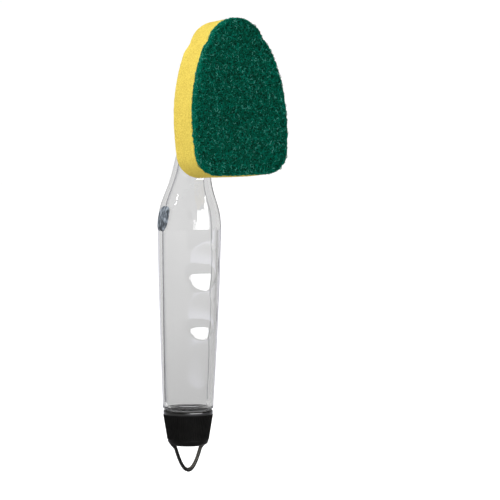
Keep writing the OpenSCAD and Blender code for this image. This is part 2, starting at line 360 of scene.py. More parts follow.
def lathe(name: str, profile: Sequence[FlatPoint], sides: int, sharp_angle: float = 40.0,
          bump: Optional[Callable[[float, float, float], float]] = None) -> bpy.types.Object:
    """Closed solid of revolution about the Z axis.

    Args:
        name: Name of the piece.
        profile: Radius and height of each ring, from one pole or round a closed loop.
        sides: Number of sides.
        sharp_angle: Edges that turn more than this many degrees stay sharp.
        bump: Distance to add to a ring's radius, from its radius, height and angle.

    Returns:
        The solid. A profile whose ends lie on the axis is closed by poles, any other joins up with itself.
    """
    points = []
    for radius, height in profile:
        for j in range(sides):
            angle = FULL_TURN * j / sides
            r = radius + (bump(radius, height, angle) if bump else 0.0)
            points.append((r * math.cos(angle), r * math.sin(angle), height))
    rows = len(profile)
    faces = grid_faces(rows, sides, closed=True)
    starts_on_axis = profile[0][0] < 1e-6
    if not starts_on_axis:
        last = (rows - 1) * sides
        faces += [(last + j, last + (j + 1) % sides, (j + 1) % sides, j) for j in range(sides)]
    return mesh_object(name, points, faces, sharp_angle)


# Dressing


def second_finish(piece: bpy.types.Object, finish: bpy.types.Material,
                  where: Callable[[Vector], bool]) -> None:
    """Gives part of a dressed piece another material.

    Args:
        piece: The piece.
        finish: The other material.
        where: Whether a place in millimetres belongs to that part; a face does if all its corners do.
    """
    piece.data.materials.append(finish)
    inside = [where(v.co / MM) for v in piece.data.vertices]
    for face in piece.data.polygons:
        if all(inside[i] for i in face.vertices):
            face.material_index = 1


def dress(piece: bpy.types.Object, finish: bpy.types.Material, body: Body, slot: str, *nodes: str) -> None:
    """Gives a finished piece its material and body.

    Args:
        piece: The piece.
        finish: Its material.
        body: The body that it rides on.
        slot: Name of the record's material slot; not used.
        nodes: The CAD nodes that it stands for.
    """
    piece.data.materials.clear()
    piece.data.materials.append(finish)
    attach(piece, body.value)
    if nodes:
        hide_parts(*nodes)
    piece.data.calc_loop_triangles()
    LOG.info("%s: %d triangles on %s", piece.name, len(piece.data.loop_triangles), body.value)


# Node trees


class NodeSheet:
    """A node tree that is written with short calls."""

    def __init__(self, tree: bpy.types.NodeTree) -> None:
        """Takes the tree that the calls add to."""
        self.tree = tree

    def add(self, kind: str, settings: Optional[dict] = None, **inputs: object) -> bpy.types.Node:
        """Adds a node.

        Args:
            kind: The node's type name.
            settings: Values of the node's own properties.
            inputs: Values or sockets for its inputs, by name with underscores for spaces, or as i0 and so on.

        Returns:
            The node.
        """
        node = self.tree.nodes.new(kind)
        for key, value in (settings or {}).items():
            setattr(node, key, value)
        for key, value in inputs.items():
            self.feed(node, key, value)
        return node

    def feed(self, node: bpy.types.Node, key: str, value: object) -> None:
        """Sets or links one input.

        Args:
            node: The node.
            key: The input's name with underscores for spaces, or i and its number.
            value: A value, or a socket to link.
        """
        if key[0] == "i" and key[1:].isdigit():
            socket = node.inputs[int(key[1:])]
        else:
            name = key.replace("_", " ")
            socket = next(s for s in node.inputs if s.name == name and s.enabled)
        if isinstance(value, bpy.types.NodeSocket):
            self.tree.links.new(value, socket)
        else:
            socket.default_value = value

    def worked(self, operation: str, *values: Value) -> bpy.types.NodeSocket:
        """Result of a Math node on values or sockets."""
        inputs = {f"i{k}": value for k, value in enumerate(values)}
        return self.add("ShaderNodeMath", {"operation": operation}, **inputs).outputs[0]

    def blend(self, factor: Value, first: Value, second: Value) -> bpy.types.NodeSocket:
        """The first value at a factor of 0 and the second at 1."""
        return self.add("ShaderNodeMix", {"data_type": "FLOAT"}, i0=factor, i2=first, i3=second).outputs[0]

    def remap(self, factor: Value, start: float, end: float, low: Value = 0.0,
              high: Value = 1.0) -> bpy.types.NodeSocket:
        """Value that runs from low to high while the factor runs from start to end."""
        return self.add("ShaderNodeMapRange", i0=factor, i1=start, i2=end, i3=low, i4=high).outputs[0]


class GeometrySheet(NodeSheet):
    """A Geometry Nodes tree with named inputs, put on an object and turned into a mesh."""

    def __init__(self, name: str, inputs: dict[str, float]) -> None:
        """Makes the tree.

        Args:
            name: Name of the tree.
            inputs: Its named inputs and their values; whole numbers become integer inputs.
        """
        super().__init__(bpy.data.node_groups.new(name, "GeometryNodeTree"))
        face = self.tree.interface
        face.new_socket("Geometry", in_out="INPUT", socket_type="NodeSocketGeometry")
        face.new_socket("Geometry", in_out="OUTPUT", socket_type="NodeSocketGeometry")
        self.values = {}
        for key, value in inputs.items():
            kind = "NodeSocketInt" if isinstance(value, int) else "NodeSocketFloat"
            socket = face.new_socket(key, in_out="INPUT", socket_type=kind)
            self.values[socket.identifier] = value
        self.given = self.tree.nodes.new("NodeGroupInput")
        self.result = self.tree.nodes.new("NodeGroupOutput")

    def value(self, name: str) -> bpy.types.NodeSocket:
        """Socket of a named input."""
        return self.given.outputs[name]

    def random(self, low: Value, high: Value, seed: object) -> bpy.types.NodeSocket:
        """Random value between two others, from a fixed seed."""
        node = self.add("FunctionNodeRandomValue", {"data_type": "FLOAT"}, i2=low, i3=high, Seed=seed)
        return node.outputs[1]

    def tube(self, path: bpy.types.NodeSocket, radius: bpy.types.NodeSocket,
             sides: int) -> bpy.types.NodeSocket:
        """Smooth-shaded tube round a curve.

        Args:
            path: The curve.
            radius: Its radius.
            sides: Number of sides.

        Returns:
            The tube, with its ends closed.
        """
        ring = self.add("GeometryNodeCurvePrimitiveCircle", Resolution=sides, Radius=radius)
        mesh = self.add("GeometryNodeCurveToMesh", Curve=path, Profile_Curve=ring.outputs[0], Fill_Caps=True)
        return self.add("GeometryNodeSetShadeSmooth", Geometry=mesh.outputs[0]).outputs[0]

    def finish(self, geometry: bpy.types.NodeSocket, material: bpy.types.Material) -> None:
        """Ends the tree: instances made real, and a material set.

        Args:
            geometry: What the tree makes.
            material: Its material.
        """
        real = self.add("GeometryNodeRealizeInstances", Geometry=geometry)
        dressed = self.add("GeometryNodeSetMaterial", Geometry=real.outputs[0], Material=material)
        self.tree.links.new(dressed.outputs[0], self.result.inputs[0])

    def grow(self, name: str, on: bpy.types.Object) -> bpy.types.Object:
        """Runs the tree on a copy of an object.

        Args:
            name: Name of the new piece.
            on: The object that the tree reads.

        Returns:
            The piece as a plain mesh.
        """
        carrier = bpy.data.objects.new(name, on.data.copy())
        bpy.context.scene.collection.objects.link(carrier)
        modifier = carrier.modifiers.new("grow", "NODES")
        modifier.node_group = self.tree
        for identifier, value in self.values.items():
            modifier[identifier] = value
        return applied(carrier, name)


# Finishes


class FinishSheet(NodeSheet):
    """A material's node tree, with the nodes that most finishes share."""

    def __init__(self, name: str) -> None:
        """Makes a material of that name with a Principled shader."""
        self.material = bpy.data.materials.new(name)
        self.material.use_nodes = True
        super().__init__(self.material.node_tree)
        self.shader = next(n for n in self.tree.nodes if n.type == "BSDF_PRINCIPLED")
        self.place = self.tree.nodes.new("ShaderNodeTexCoord").outputs["Object"]

    def shade(self, **inputs: object) -> None:
        """Sets or links inputs of the Principled shader."""
        for key, value in inputs.items():
            self.feed(self.shader, key, value)

    def noise(self, size: float, detail: float = 3.0, rough: float = 0.55,
              stretch: Point = (1.0, 1.0, 1.0)) -> bpy.types.NodeSocket:
        """Noise in the object's own space.

        Args:
            size: Size of its features in millimetres.
            detail: Octaves.
            rough: How strong the fine octaves are.
            stretch: How much longer the features are along each axis.

        Returns:
            The factor socket.
        """
        turned = self.add("ShaderNodeMapping", i0=self.place, i3=tuple(1 / s for s in stretch))
        texture = self.add("ShaderNodeTexNoise", Vector=turned.outputs[0], Scale=1 / (size * MM),
                           Detail=detail, Roughness=rough)
        return texture.outputs[0]

    def ramp(self, factor: bpy.types.NodeSocket,
             stops: Sequence[tuple[float, Point]]) -> bpy.types.NodeSocket:
        """Colour along a ramp.

        Args:
            factor: What drives it.
            stops: Position and colour of each stop.

        Returns:
            The colour socket.
        """
        node = self.add("ShaderNodeValToRGB", i0=factor)
        elements = node.color_ramp.elements
        while len(elements) < len(stops):
            elements.new(1.0)
        for element, (position, colour) in zip(elements, stops):
            element.position = position
            element.color = (*colour, 1.0)
        return node.outputs[0]

    def levels(self, factor: bpy.types.NodeSocket, stops: Sequence[Pair]) -> Value:
        """Value along a run of straight pieces.

        Args:
            factor: What drives it.
            stops: Places along it, and the value at each.

        Returns:
            The value socket.
        """
        value: Value = stops[0][1]
        for (start, _), (end, level) in zip(stops, stops[1:]):
            value = self.remap(factor, start, end, value, level)
        return value

    def bump(self, height: bpy.types.NodeSocket, depth: float,
             under: Optional[bpy.types.NodeSocket] = None) -> bpy.types.NodeSocket:
        """Bump from a height.

        Args:
            height: A factor from 0 to 1.
            depth: What 1 stands for, in millimetres.
            under: Another bump that this one lies on.

        Returns:
            The normal socket.
        """
        node = self.add("ShaderNodeBump", Height=height, Strength=1.0, Distance=depth * MM)
        if under is not None:
            self.feed(node, "Normal", under)
        return node.outputs[0]


@dataclass(frozen=True)
class ClearPlastic:
    """Clear moulded plastic, with faint flow lines along its length."""

    name: str
    colour: Point = (0.94, 0.94, 0.94)
    index: float = 1.49
    roughness: float = 0.02
    ripple: float = 0.005
    ripple_size: float = 5.0
    flow: Point = (1.0, 1.0, 9.0)

    def make(self) -> bpy.types.Material:
        """The material."""
        sheet = FinishSheet(self.name)
        ripples = sheet.noise(self.ripple_size, 1.0, stretch=self.flow)
        sheet.shade(Base_Color=(*self.colour, 1.0), Roughness=self.roughness, IOR=self.index,
                    Transmission_Weight=1.0, Normal=sheet.bump(ripples, self.ripple))
        return sheet.material


@dataclass(frozen=True)
class BlackPlastic:
    """Black moulded plastic with a fine mould grain and handling marks."""

    name: str
    colour: Point = (0.005, 0.005, 0.0052)
    roughness: float = 0.3
    grain: float = 0.01
    grain_size: float = 0.35
    mark_size: float = 6.0
    gloss: float = 0.2

    def make(self) -> bpy.types.Material:
        """The material."""
        sheet = FinishSheet(self.name)
        wear_and_painted_light = sheet.noise(self.mark_size, 4.0)
        rough = sheet.remap(wear_and_painted_light, 0.0, 1.0, self.roughness * 0.8, self.roughness * 1.25)
        low = tuple(c * 0.8 for c in self.colour)
        high = tuple(c * 1.4 for c in self.colour)
        sheet.shade(Base_Color=sheet.ramp(wear_and_painted_light, [(0.35, low), (0.7, high)]), Specular_IOR_Level=self.gloss,
                    Roughness=rough, Normal=sheet.bump(sheet.noise(self.grain_size, 2.0), self.grain))
        return sheet.material


@dataclass(frozen=True)
class Rubber:
    """Moulded rubber or silicone."""

    name: str
    colour: Point
    roughness: float = 0.5
    grain: float = 0.02
    grain_size: float = 0.4
    cloud_size: float = 3.0

    def make(self) -> bpy.types.Material:
        """The material."""
        sheet = FinishSheet(self.name)
        cloud = sheet.noise(self.cloud_size, 3.0)
        low = tuple(c * 0.82 for c in self.colour)
        high = tuple(min(c * 1.2, 1.0) for c in self.colour)
        sheet.shade(Base_Color=sheet.ramp(cloud, [(0.3, low), (0.7, high)]),
                    Roughness=sheet.remap(cloud, 0.0, 1.0, self.roughness * 0.85, self.roughness * 1.15),
                    Normal=sheet.bump(sheet.noise(self.grain_size, 2.0), self.grain))
        return sheet.material


@dataclass(frozen=True)
class GripRubber:
    """The thumb pad's blue-grey rubber, streaked lighter and darker where it is rubbed."""

    dark: Point = (0.03, 0.038, 0.048)
    mid: Point = (0.13, 0.155, 0.185)
    pale: Point = (0.38, 0.43, 0.49)
    streak: Point = (1.0, 1.0, 2.6)
    streak_size: float = 1.5
    rub_size: float = 5.0
    rub_share: float = 0.35
    roughness: Pair = (0.42, 0.7)
    relief: float = 0.12

    def make(self) -> bpy.types.Material:
        """The material."""
        sheet = FinishSheet("grey_rubber")
        streaks = sheet.noise(self.streak_size, 3.0, 0.6, stretch=self.streak)
        rubbed = sheet.noise(self.rub_size, 2.0)
        both = sheet.blend(self.rub_share, streaks, rubbed)
        sheet.shade(Base_Color=sheet.ramp(both, [(0.43, self.dark), (0.5, self.mid), (0.58, self.pale)]),
                    Roughness=sheet.remap(streaks, 0.0, 1.0, *self.roughness),
                    Normal=sheet.bump(streaks, self.relief))
        return sheet.material


@dataclass(frozen=True)
class Foam:
    """Yellow open-cell foam, with pores and a little mottling."""

    light: Point = (0.94, 0.745, 0.145)
    deep: Point = (0.7, 0.5, 0.075)
    pore: float = 0.7
    pore_depth: float = 0.18
    crumb: float = 1.1
    crumb_depth: float = 0.14
    speckle: float = 0.9
    cloud: float = 9.0
    cloud_share: float = 0.12

    def make(self) -> bpy.types.Material:
        """The material."""
        sheet = FinishSheet("yellow_foam")
        cells = sheet.add("ShaderNodeTexVoronoi", {"feature": "F1"}, Vector=sheet.place,
                          Scale=1 / (self.pore * MM)).outputs["Distance"]
        fine = sheet.noise(self.speckle, 3.0, 0.85)
        both = sheet.blend(self.cloud_share, fine, sheet.noise(self.cloud, 2.0))
        colour = sheet.ramp(both, [(0.38, self.deep), (0.58, self.light)])
        normal = sheet.bump(sheet.noise(self.crumb, 3.0, 0.7), self.crumb_depth,
                            sheet.bump(cells, self.pore_depth))
        sheet.shade(Base_Color=colour, Roughness=0.95, Specular_IOR_Level=0.05, Normal=normal)
        return sheet.material


@dataclass(frozen=True)
class ScourMat:
    """The dense inner mat of the scouring pad, seen between its fibres."""

    dark: Point = (0.0004, 0.014, 0.008)
    mid: Point = (0.001, 0.06, 0.035)
    tangle: float = 0.9
    relief: float = 0.5

    def make(self) -> bpy.types.Material:
        """The material."""
        sheet = FinishSheet("green_mat")
        tangle = sheet.noise(self.tangle, 5.0, 0.7)
        colour = sheet.ramp(tangle, [(0.38, self.dark), (0.66, self.mid)])
        sheet.shade(Base_Color=colour, Roughness=0.85, Specular_IOR_Level=0.03,
                    Normal=sheet.bump(tangle, self.relief))
        return sheet.material


@dataclass(frozen=True)
class ScourFibre:
    """The pad's resin-coated fibres: deep green. The few pale ones are painted glints, and the rim's fibres
    run paler as painted highlight.
    """

    deep: Point = (0.0, 0.02, 0.011)
    mid: Point = (0.0, 0.1, 0.058)
    bright: Point = (0.001, 0.24, 0.155)
    # Pale fibres stand in for glints: painted glints.
    pale: Point = (0.13, 0.5, 0.4)
    grain: float = 2.0
    roughness: Pair = (0.4, 0.65)

    def make(self) -> bpy.types.Material:
        """The material."""
        sheet = FinishSheet("green_fibre")
        shade = sheet.add("ShaderNodeAttribute", {"attribute_name": ScourFibres.SHADE}).outputs["Fac"]
        stops = [(0.0, self.deep), (0.45, self.mid), (0.92, self.bright), (1.0, self.pale)]
        rough = sheet.remap(sheet.noise(self.grain), 0.0, 1.0, *self.roughness)
        sheet.shade(Base_Color=sheet.ramp(shade, stops), Roughness=rough, Specular_IOR_Level=0.01)
        return sheet.material


# Handle


@dataclass(frozen=True)
class HandleForm:
    """The rule of the handle's outline.

    Reaches run forwards from the handle's axis, so backs are negative. A row of the neck holds its height,
    its half width, and the reach of its back, its front and its side seam.
    """

    grip_r: float = 15.7
    grip_z: float = 36.8
    straight: float = 2.4
    shoulder_z: float = 150.0
    swell: float = 0.5
    wall: float = 2.2
    scoop_top_z: float = 127.0
    scoop_pitch: float = 30.8
    scoop_half_w: float = 13.0
    scoop_half_h: float = 14.6
    scoop_depths: tuple[float, ...] = (2.2, 2.1, 0.65)
    scoop_side: float = 1.5
    scoop_rim: float = 0.03
    neck_rows: tuple[tuple[float, float, float, float, float], ...] = (
        (150.0, 18.4, -22.0, 26.0, 2.0),
        (158.0, 17.6, -21.7, 25.5, 2.0),
        (164.0, 16.1, -20.6, 24.1, 2.0),
        (170.0, 14.1, -18.0, 22.5, 2.2),
        (176.0, 12.3, -14.7, 20.9, 3.4),
        (182.0, 11.2, -11.7, 20.1, 5.6),
        (188.0, 10.8, -8.9, 22.8, 8.2),
        (196.0, 10.4, -4.4, 25.0, 10.8),
        (204.0, 9.5, 1.6, 24.2, 13.4),
        (210.0, 7.5, 8.5, 23.5, 16.4),
        (213.4, 4.4, 14.6, 23.0, 19.2),
    )
    top_z: float = 214.6
    top_forward: float = 19.9
    crown_h: float = 11.6

    @property
    def straight_z(self) -> float:
        """Height at which the grip's round end is over."""
        return self.grip_z + self.straight

    def slope(self, i: int) -> np.ndarray:
        """Slope of the neck's rows at row i."""
        low, high = max(i - 1, 0), min(i + 1, len(self.neck_rows) - 1)
        a, b = np.array(self.neck_rows[low]), np.array(self.neck_rows[high])
        return (b - a) / (b[0] - a[0])

    def neck_at(self, z: float) -> np.ndarray:
        """The smooth curve through the neck's rows.

        Args:
            z: Height.

        Returns:
            Half width, back, front and seam.
        """
        rows = self.neck_rows
        i = max(k for k in range(len(rows) - 1) if k == 0 or z >= rows[k][0])
        a, b = np.array(rows[i]), np.array(rows[i + 1])
        h = b[0] - a[0]
        t = (z - a[0]) / h
        curve = (a * (2 * t**3 - 3 * t**2 + 1) + self.slope(i) * h * (t**3 - 2 * t**2 + t)
                 + b * (3 * t**2 - 2 * t**3) + self.slope(i + 1) * h * (t**3 - t**2))
        return curve[1:]

    def outline_at(self, z: float) -> np.ndarray:
        """The handle's outline.

        Args:
            z: Height.

        Returns:
            Half width, back, front and seam.
        """
        last = self.neck_rows[-1]
        if z > last[0]:
            return self.crown_at(z)
        if z >= self.shoulder_z:
            return self.neck_at(z)
        t = max(0.0, (z - self.straight_z) / (self.shoulder_z - self.straight_z))
        t *= 1 + self.swell - self.swell * t
        low = np.array((self.grip_r, -self.grip_r, self.grip_r, 0.0))
        return low + (np.array(self.neck_rows[0][1:]) - low) * t

    def crown_at(self, z: float) -> np.ndarray:
        """The closing dome above the last row, as part of an ellipse.

        Args:
            z: Height.

        Returns:
            Half width, back, front and seam.
        """
        last = self.neck_rows[-1]
        base = self.top_z - self.crown_h
        start = math.asin((last[0] - base) / self.crown_h)
        angle = math.asin(min((z - base) / self.crown_h, 1.0))
        share = math.cos(angle) / math.cos(start)
        seam = mix(last[4], self.top_forward, 1 - share)
        return np.array((last[1] * share, seam + (last[2] - last[4]) * share,
                         seam + (last[3] - last[4]) * share, seam))

    def scoop_at(self, x: float, z: float) -> float:
        """Depth of the finger scoops, with a soft rim.

        Args:
            x: Place across the front.
            z: Height.

        Returns:
            The depth in millimetres.
        """
        across = 1 - (x / self.scoop_half_w) ** 2
        across = math.copysign(abs(across) ** self.scoop_side, across)
        total = 0.0
        for i, depth in enumerate(self.scoop_depths):
            high = (z - self.scoop_top_z + i * self.scoop_pitch) / self.scoop_half_h
            share = across - high**2
            total += depth * (share + math.sqrt(share**2 + self.scoop_rim)) / 2
        return total

    def skin_point(self, z: float, angle: float, half: Half, inset: float) -> Point:
        """Point of the skin.

        Args:
            z: Height.
            angle: From the left seam at 0 to the right seam at pi.
            half: Which shell.
            inset: Distance inside the outer skin.

        Returns:
            The point in millimetres.
        """
        width, back, front, seam = self.outline_at(z)
        side = half.value
        reach = (front if side > 0 else back) - seam
        scoop = self.scoop_at(-width * math.cos(angle), z) if side > 0 else 0.0
        x = -(width - inset) * math.cos(angle)
        y = -seam - (reach - side * inset) * math.sin(angle) + scoop * math.sin(angle)
        return (x, y, z)


@dataclass
class Thread:
    """A single-start screw thread, as a ridge that is added to a radius."""

    low: float
    turns: float
    pitch: float = 4.0
    height: float = 0.85
    half_width: float = 1.0
    fade: float = 0.35
    steep: float = 1.6

    def ridge(self, z: float, angle: float) -> float:
        """Height of the ridge above its core.

        Args:
            z: Height along the axis.
            angle: Angle round it.

        Returns:
            The height in millimetres.
        """
        total = 0.0
        turn = (angle / FULL_TURN) % 1.0
        for k in range(int(self.turns) + 1):
            run = k + turn
            if run > self.turns:
                continue
            away = abs(z - self.low - self.pitch * run) / self.half_width
            ends = min(run, self.turns - run) / (self.fade / 2)
            total = max(total, self.height * smoothstep(self.steep * (1 - away)) * smoothstep(ends))
        return total


@dataclass
class Handle:
    """The hollow clear handle: front and back shells, tongue, soap valve and thumb pad."""

    head_place: Matrix
    form: HandleForm = field(default_factory=HandleForm)
    finish_r: float = 11.7
    filling_r: float = 10.3
    finish_z: float = 24.3
    floor_t: float = 0.9
    thread: Thread = field(default_factory=lambda: Thread(low=26.4, turns=1.75))
    foot_rounds: Pair = (1.6, 2.0)
    skin_start: float = 2.4
    around: int = 116
    finish_rings: int = 48
    foot_rings: int = 8
    crown_rings: int = 10
    ring_step: float = 0.6
    sharp_angle: float = 35.0
    weld_gap: float = 0.03
    weld_groove: float = 0.12
    tongue_y: Pair = (11.0, 30.0)
    tongue_w: float = 15.4
    tongue_t: float = 3.5
    tongue_front: float = -12.7
    web_w: float = 10.0
    web_root: float = 3.3
    base_d: float = 19.5
    outlet_y: float = 20.0
    outlet_r: float = 2.6
    valve_r: float = 3.6
    valve_t: float = 3.0
    thumb_z: float = 155.6
    thumb_half_h: float = 8.0
    thumb_half_a: float = math.radians(17.5)
    thumb_turn: float = math.radians(2.5)
    thumb_lean: float = math.radians(4)
    thumb_edge: float = 0.15
    thumb_dome: float = 0.95
    thumb_under: float = 0.02
    thumb_square: float = 2.7
    thumb_notch: Pair = (0.07, 0.22)

    def round_rows(self) -> list[tuple[float, float, float, float, bool]]:
        """Rings below the skin: the neck finish and the grip's rounded foot.

        Returns:
            Outer radius and height, inner radius and height, and whether the ring is threaded, of each.
        """
        form = self.form
        rows = [(self.finish_r - 0.4, self.finish_z, self.filling_r + 0.3, self.finish_z, False)]
        for i in range(self.finish_rings + 1):
            z = mix(self.finish_z + 0.4, form.grip_z - 0.3, i / self.finish_rings)
            rows.append((self.finish_r, z, self.filling_r, z, True))
        rows.append((self.finish_r + 0.2, form.grip_z, self.filling_r, form.grip_z + 0.4, False))
        rows.append((mix(self.finish_r, form.grip_r, 0.4), form.grip_z, self.filling_r + 0.1,
                     form.grip_z + self.floor_t - 0.1, False))
        outer_r, inner_r = self.foot_rounds
        for out, up in quarter_round(self.foot_rings):
            rows.append((form.grip_r - outer_r * (1 - out), form.grip_z + outer_r * up,
                         form.grip_r - form.wall - inner_r * (1 - out),
                         form.grip_z + self.floor_t + inner_r * up, False))
        return rows

    def shell(self, half: Half) -> bpy.types.Object:
        """One shell as a closed mesh: outer skin, inner skin and the edges between them.

        Args:
            half: Which shell.

        Returns:
            The shell.
        """
        form = self.form
        columns = self.around + 1
        side = half.value
        outer, inner = [], []
        for out_r, out_z, in_r, in_z, threaded in self.round_rows():
            for j in range(columns):
                a = math.pi * j / self.around
                direction = (-math.cos(a), -side * math.sin(a))
                turn = math.atan2(direction[1], direction[0])
                r = out_r + (self.thread.ridge(out_z, turn) if threaded else 0.0)
                outer.append((r * direction[0], r * direction[1], out_z))
                inner.append((in_r * direction[0], in_r * direction[1], in_z))
        first = form.straight_z + self.skin_start
        last = form.top_z - 0.02
        share = (form.top_z - form.wall - first) / (form.top_z - first)
        count = int((last - first) / self.ring_step)
        heights = [mix(first, last, i / count) for i in range(count - 4)]
        crown = [last - (last - heights[-1]) * (1 - up) for up, _ in quarter_round(self.crown_rings)[1:]]
        for z in heights + crown:
            for j in range(columns):
                a = math.pi * j / self.around
                groove = self.weld_groove if j in (0, self.around) else 0.0
                outer.append(form.skin_point(z, a, half, groove))
                width = form.outline_at(mix(first, z, share))[0]
                inset = min(form.wall, width * 0.9)
                inner.append(form.skin_point(mix(first, z, share), a, half, inset))
        rows = len(outer) // columns
        shift = len(outer)
        points = [(x, y - side * self.weld_gap, z) for x, y, z in outer + inner]
        faces = grid_faces(rows, columns, closed=False)
        faces += [tuple(reversed(f)) for f in grid_faces(rows, columns, closed=False, first=shift)]
        for j in (0, self.around):
            faces += [(i * columns + j, (i + 1) * columns + j, shift + (i + 1) * columns + j,
                       shift + i * columns + j) for i in range(rows - 1)]
        for i in (0, rows - 1):
            faces += [(i * columns + j, i * columns + j + 1, shift + i * columns + j + 1,
                       shift + i * columns + j) for j in range(self.around)]
        return mesh_object(f"{half.name.lower()}_shell_clear", points, faces, self.sharp_angle)

    def on_seam(self, place: Vector) -> bool:
        """Whether a place in millimetres lies on the faces where the two shells meet."""
        seam = self.form.outline_at(min(place.z, self.form.top_z))[3]
        return abs(abs(place.y + seam) - self.weld_gap) < 0.01

    def tongue(self, shell: bpy.types.Object) -> bpy.types.Object:
        """The front shell with the tongue moulded on and the soap outlet through it.

        Args:
            shell: The front shell.

        Returns:
            The front shell.
        """
        low, high = self.tongue_y
        front, back = self.tongue_front, self.tongue_front - self.tongue_t
        half = self.tongue_w / 2
        plate = rounded_box("plate", (-half, low, back), (half, high, front), 0.5, self.head_place)
        half = self.web_w / 2
        web = rounded_box("web", (-half, low, -self.base_d - self.web_root),
                          (half, high - 2, front - self.tongue_t / 2), 0.3, self.head_place)
        shell = combined(shell, combined(plate, web, "UNION"), "UNION")
        axis = (0, self.outlet_y)
        bore = rod("bore", self.outlet_r, -self.base_d - 6, 1, axis, self.head_place)
        seat = rod("seat", self.valve_r, front - self.valve_t, 1, axis, self.head_place)
        shell = combined(combined(shell, bore, "DIFFERENCE"), seat, "DIFFERENCE")
        tidy_mesh(shell, self.sharp_angle)
        return shell

    def valve(self) -> bpy.types.Object:
        """The soft valve: a plug whose thin dished lip closes the outlet.

        Returns:
            The valve.
        """
        top = self.tongue_front
        low = top - self.valve_t
        r, hole = self.valve_r - 0.05, self.outlet_r - 0.5
        profile = [(0.0, top - 0.9), (hole * 0.5, top - 0.8), (hole, top - 0.35), (r - 0.5, top),
                   (r, top - 0.3), (r, low + 0.2), (r - 0.2, low), (hole + 0.1, low), (hole, low + 0.1),
                   (hole, top - 1.0), (hole * 0.5, top - 1.3), (0.0, top - 1.4)]
        valve = lathe("valve_lip", profile, 48)
        move = self.head_place @ Matrix.Translation((0, self.outlet_y, 0))
        valve.data.transform(Matrix.Scale(MM, 4) @ move @ Matrix.Scale(1 / MM, 4))
        return valve

    def side_point(self, z: float, angle: float, proud: float) -> Point:
        """Point above the skin of the left side, round the seam.

        Args:
            z: Height.
            angle: Angle from the seam, positive towards the front.
            proud: Distance above the skin.

        Returns:
            The point.
        """
        half = Half.FRONT if angle >= 0 else Half.BACK
        point = Vector(self.form.skin_point(z, abs(angle), half, 0.0))
        middle = Vector((0.0, -self.form.outline_at(z)[3], z))
        return tuple(point + (point - middle).normalized() * proud)

    def thumb_pad(self) -> bpy.types.Object:
        """The domed rubber pad on the left of the shoulder: a rounded oblong, notched at each end.

        Returns:
            The pad.
        """
        rings, around = 14, 72
        power, (notch_d, notch_w) = self.thumb_square, self.thumb_notch
        points, faces = [], []
        for lift in (True, False):
            for i in range(rings):
                r = 1 - i / rings
                dome = self.thumb_edge + self.thumb_dome * (1 - r**6) ** 0.5 * (1 - 0.12 * r * r)
                for j in range(around):
                    across, up = math.cos(FULL_TURN * j / around), math.sin(FULL_TURN * j / around)
                    full = r / (abs(across) ** power + abs(up) ** power) ** (1 / power)
                    notch = 1 - notch_d * math.exp(-((across / notch_w) ** 2)) * r
                    across, up = across * full, up * full * notch
                    turn = self.thumb_half_a * across + self.thumb_lean * up - self.thumb_turn
                    points.append(self.side_point(self.thumb_z + self.thumb_half_h * up, turn,
                                                  dome if lift else self.thumb_under))
            middle = self.thumb_edge + self.thumb_dome if lift else self.thumb_under
            points.append(self.side_point(self.thumb_z, -self.thumb_turn, middle))
        shift = rings * around + 1
        for base in (0, shift):
            faces += grid_faces(rings, around, closed=True, first=base)
            last = base + (rings - 1) * around
            faces += [(last + j, last + (j + 1) % around, base + rings * around) for j in range(around)]
        faces += [(j, (j + 1) % around, shift + (j + 1) % around, shift + j) for j in range(around)]
        return mesh_object("thumb_pad_rubber", points, faces, sharp_angle=60)

    def build(self, clear: bpy.types.Material, weld: bpy.types.Material, rubber: bpy.types.Material,
              silicone: bpy.types.Material) -> None:
        """Builds and dresses the handle.

        Args:
            clear: Finish of the shells.
            weld: Finish of the fused weld between them, which light crosses unbent.
            rubber: Finish of the thumb pad.
            silicone: Finish of the valve.
        """
        front = self.tongue(self.shell(Half.FRONT))
        back = self.shell(Half.BACK)
        dress(front, clear, Body.HANDLE, "clear_plastic", "front_shell")
        dress(back, clear, Body.HANDLE, "clear_plastic", "back_shell")
        for shell in (front, back):
            second_finish(shell, weld, self.on_seam)
        dress(self.thumb_pad(), rubber, Body.HANDLE, "grey_rubber", "thumb_pad")
        dress(self.valve(), silicone, Body.HANDLE, "valve_silicone", "outlet_valve")


# Cap


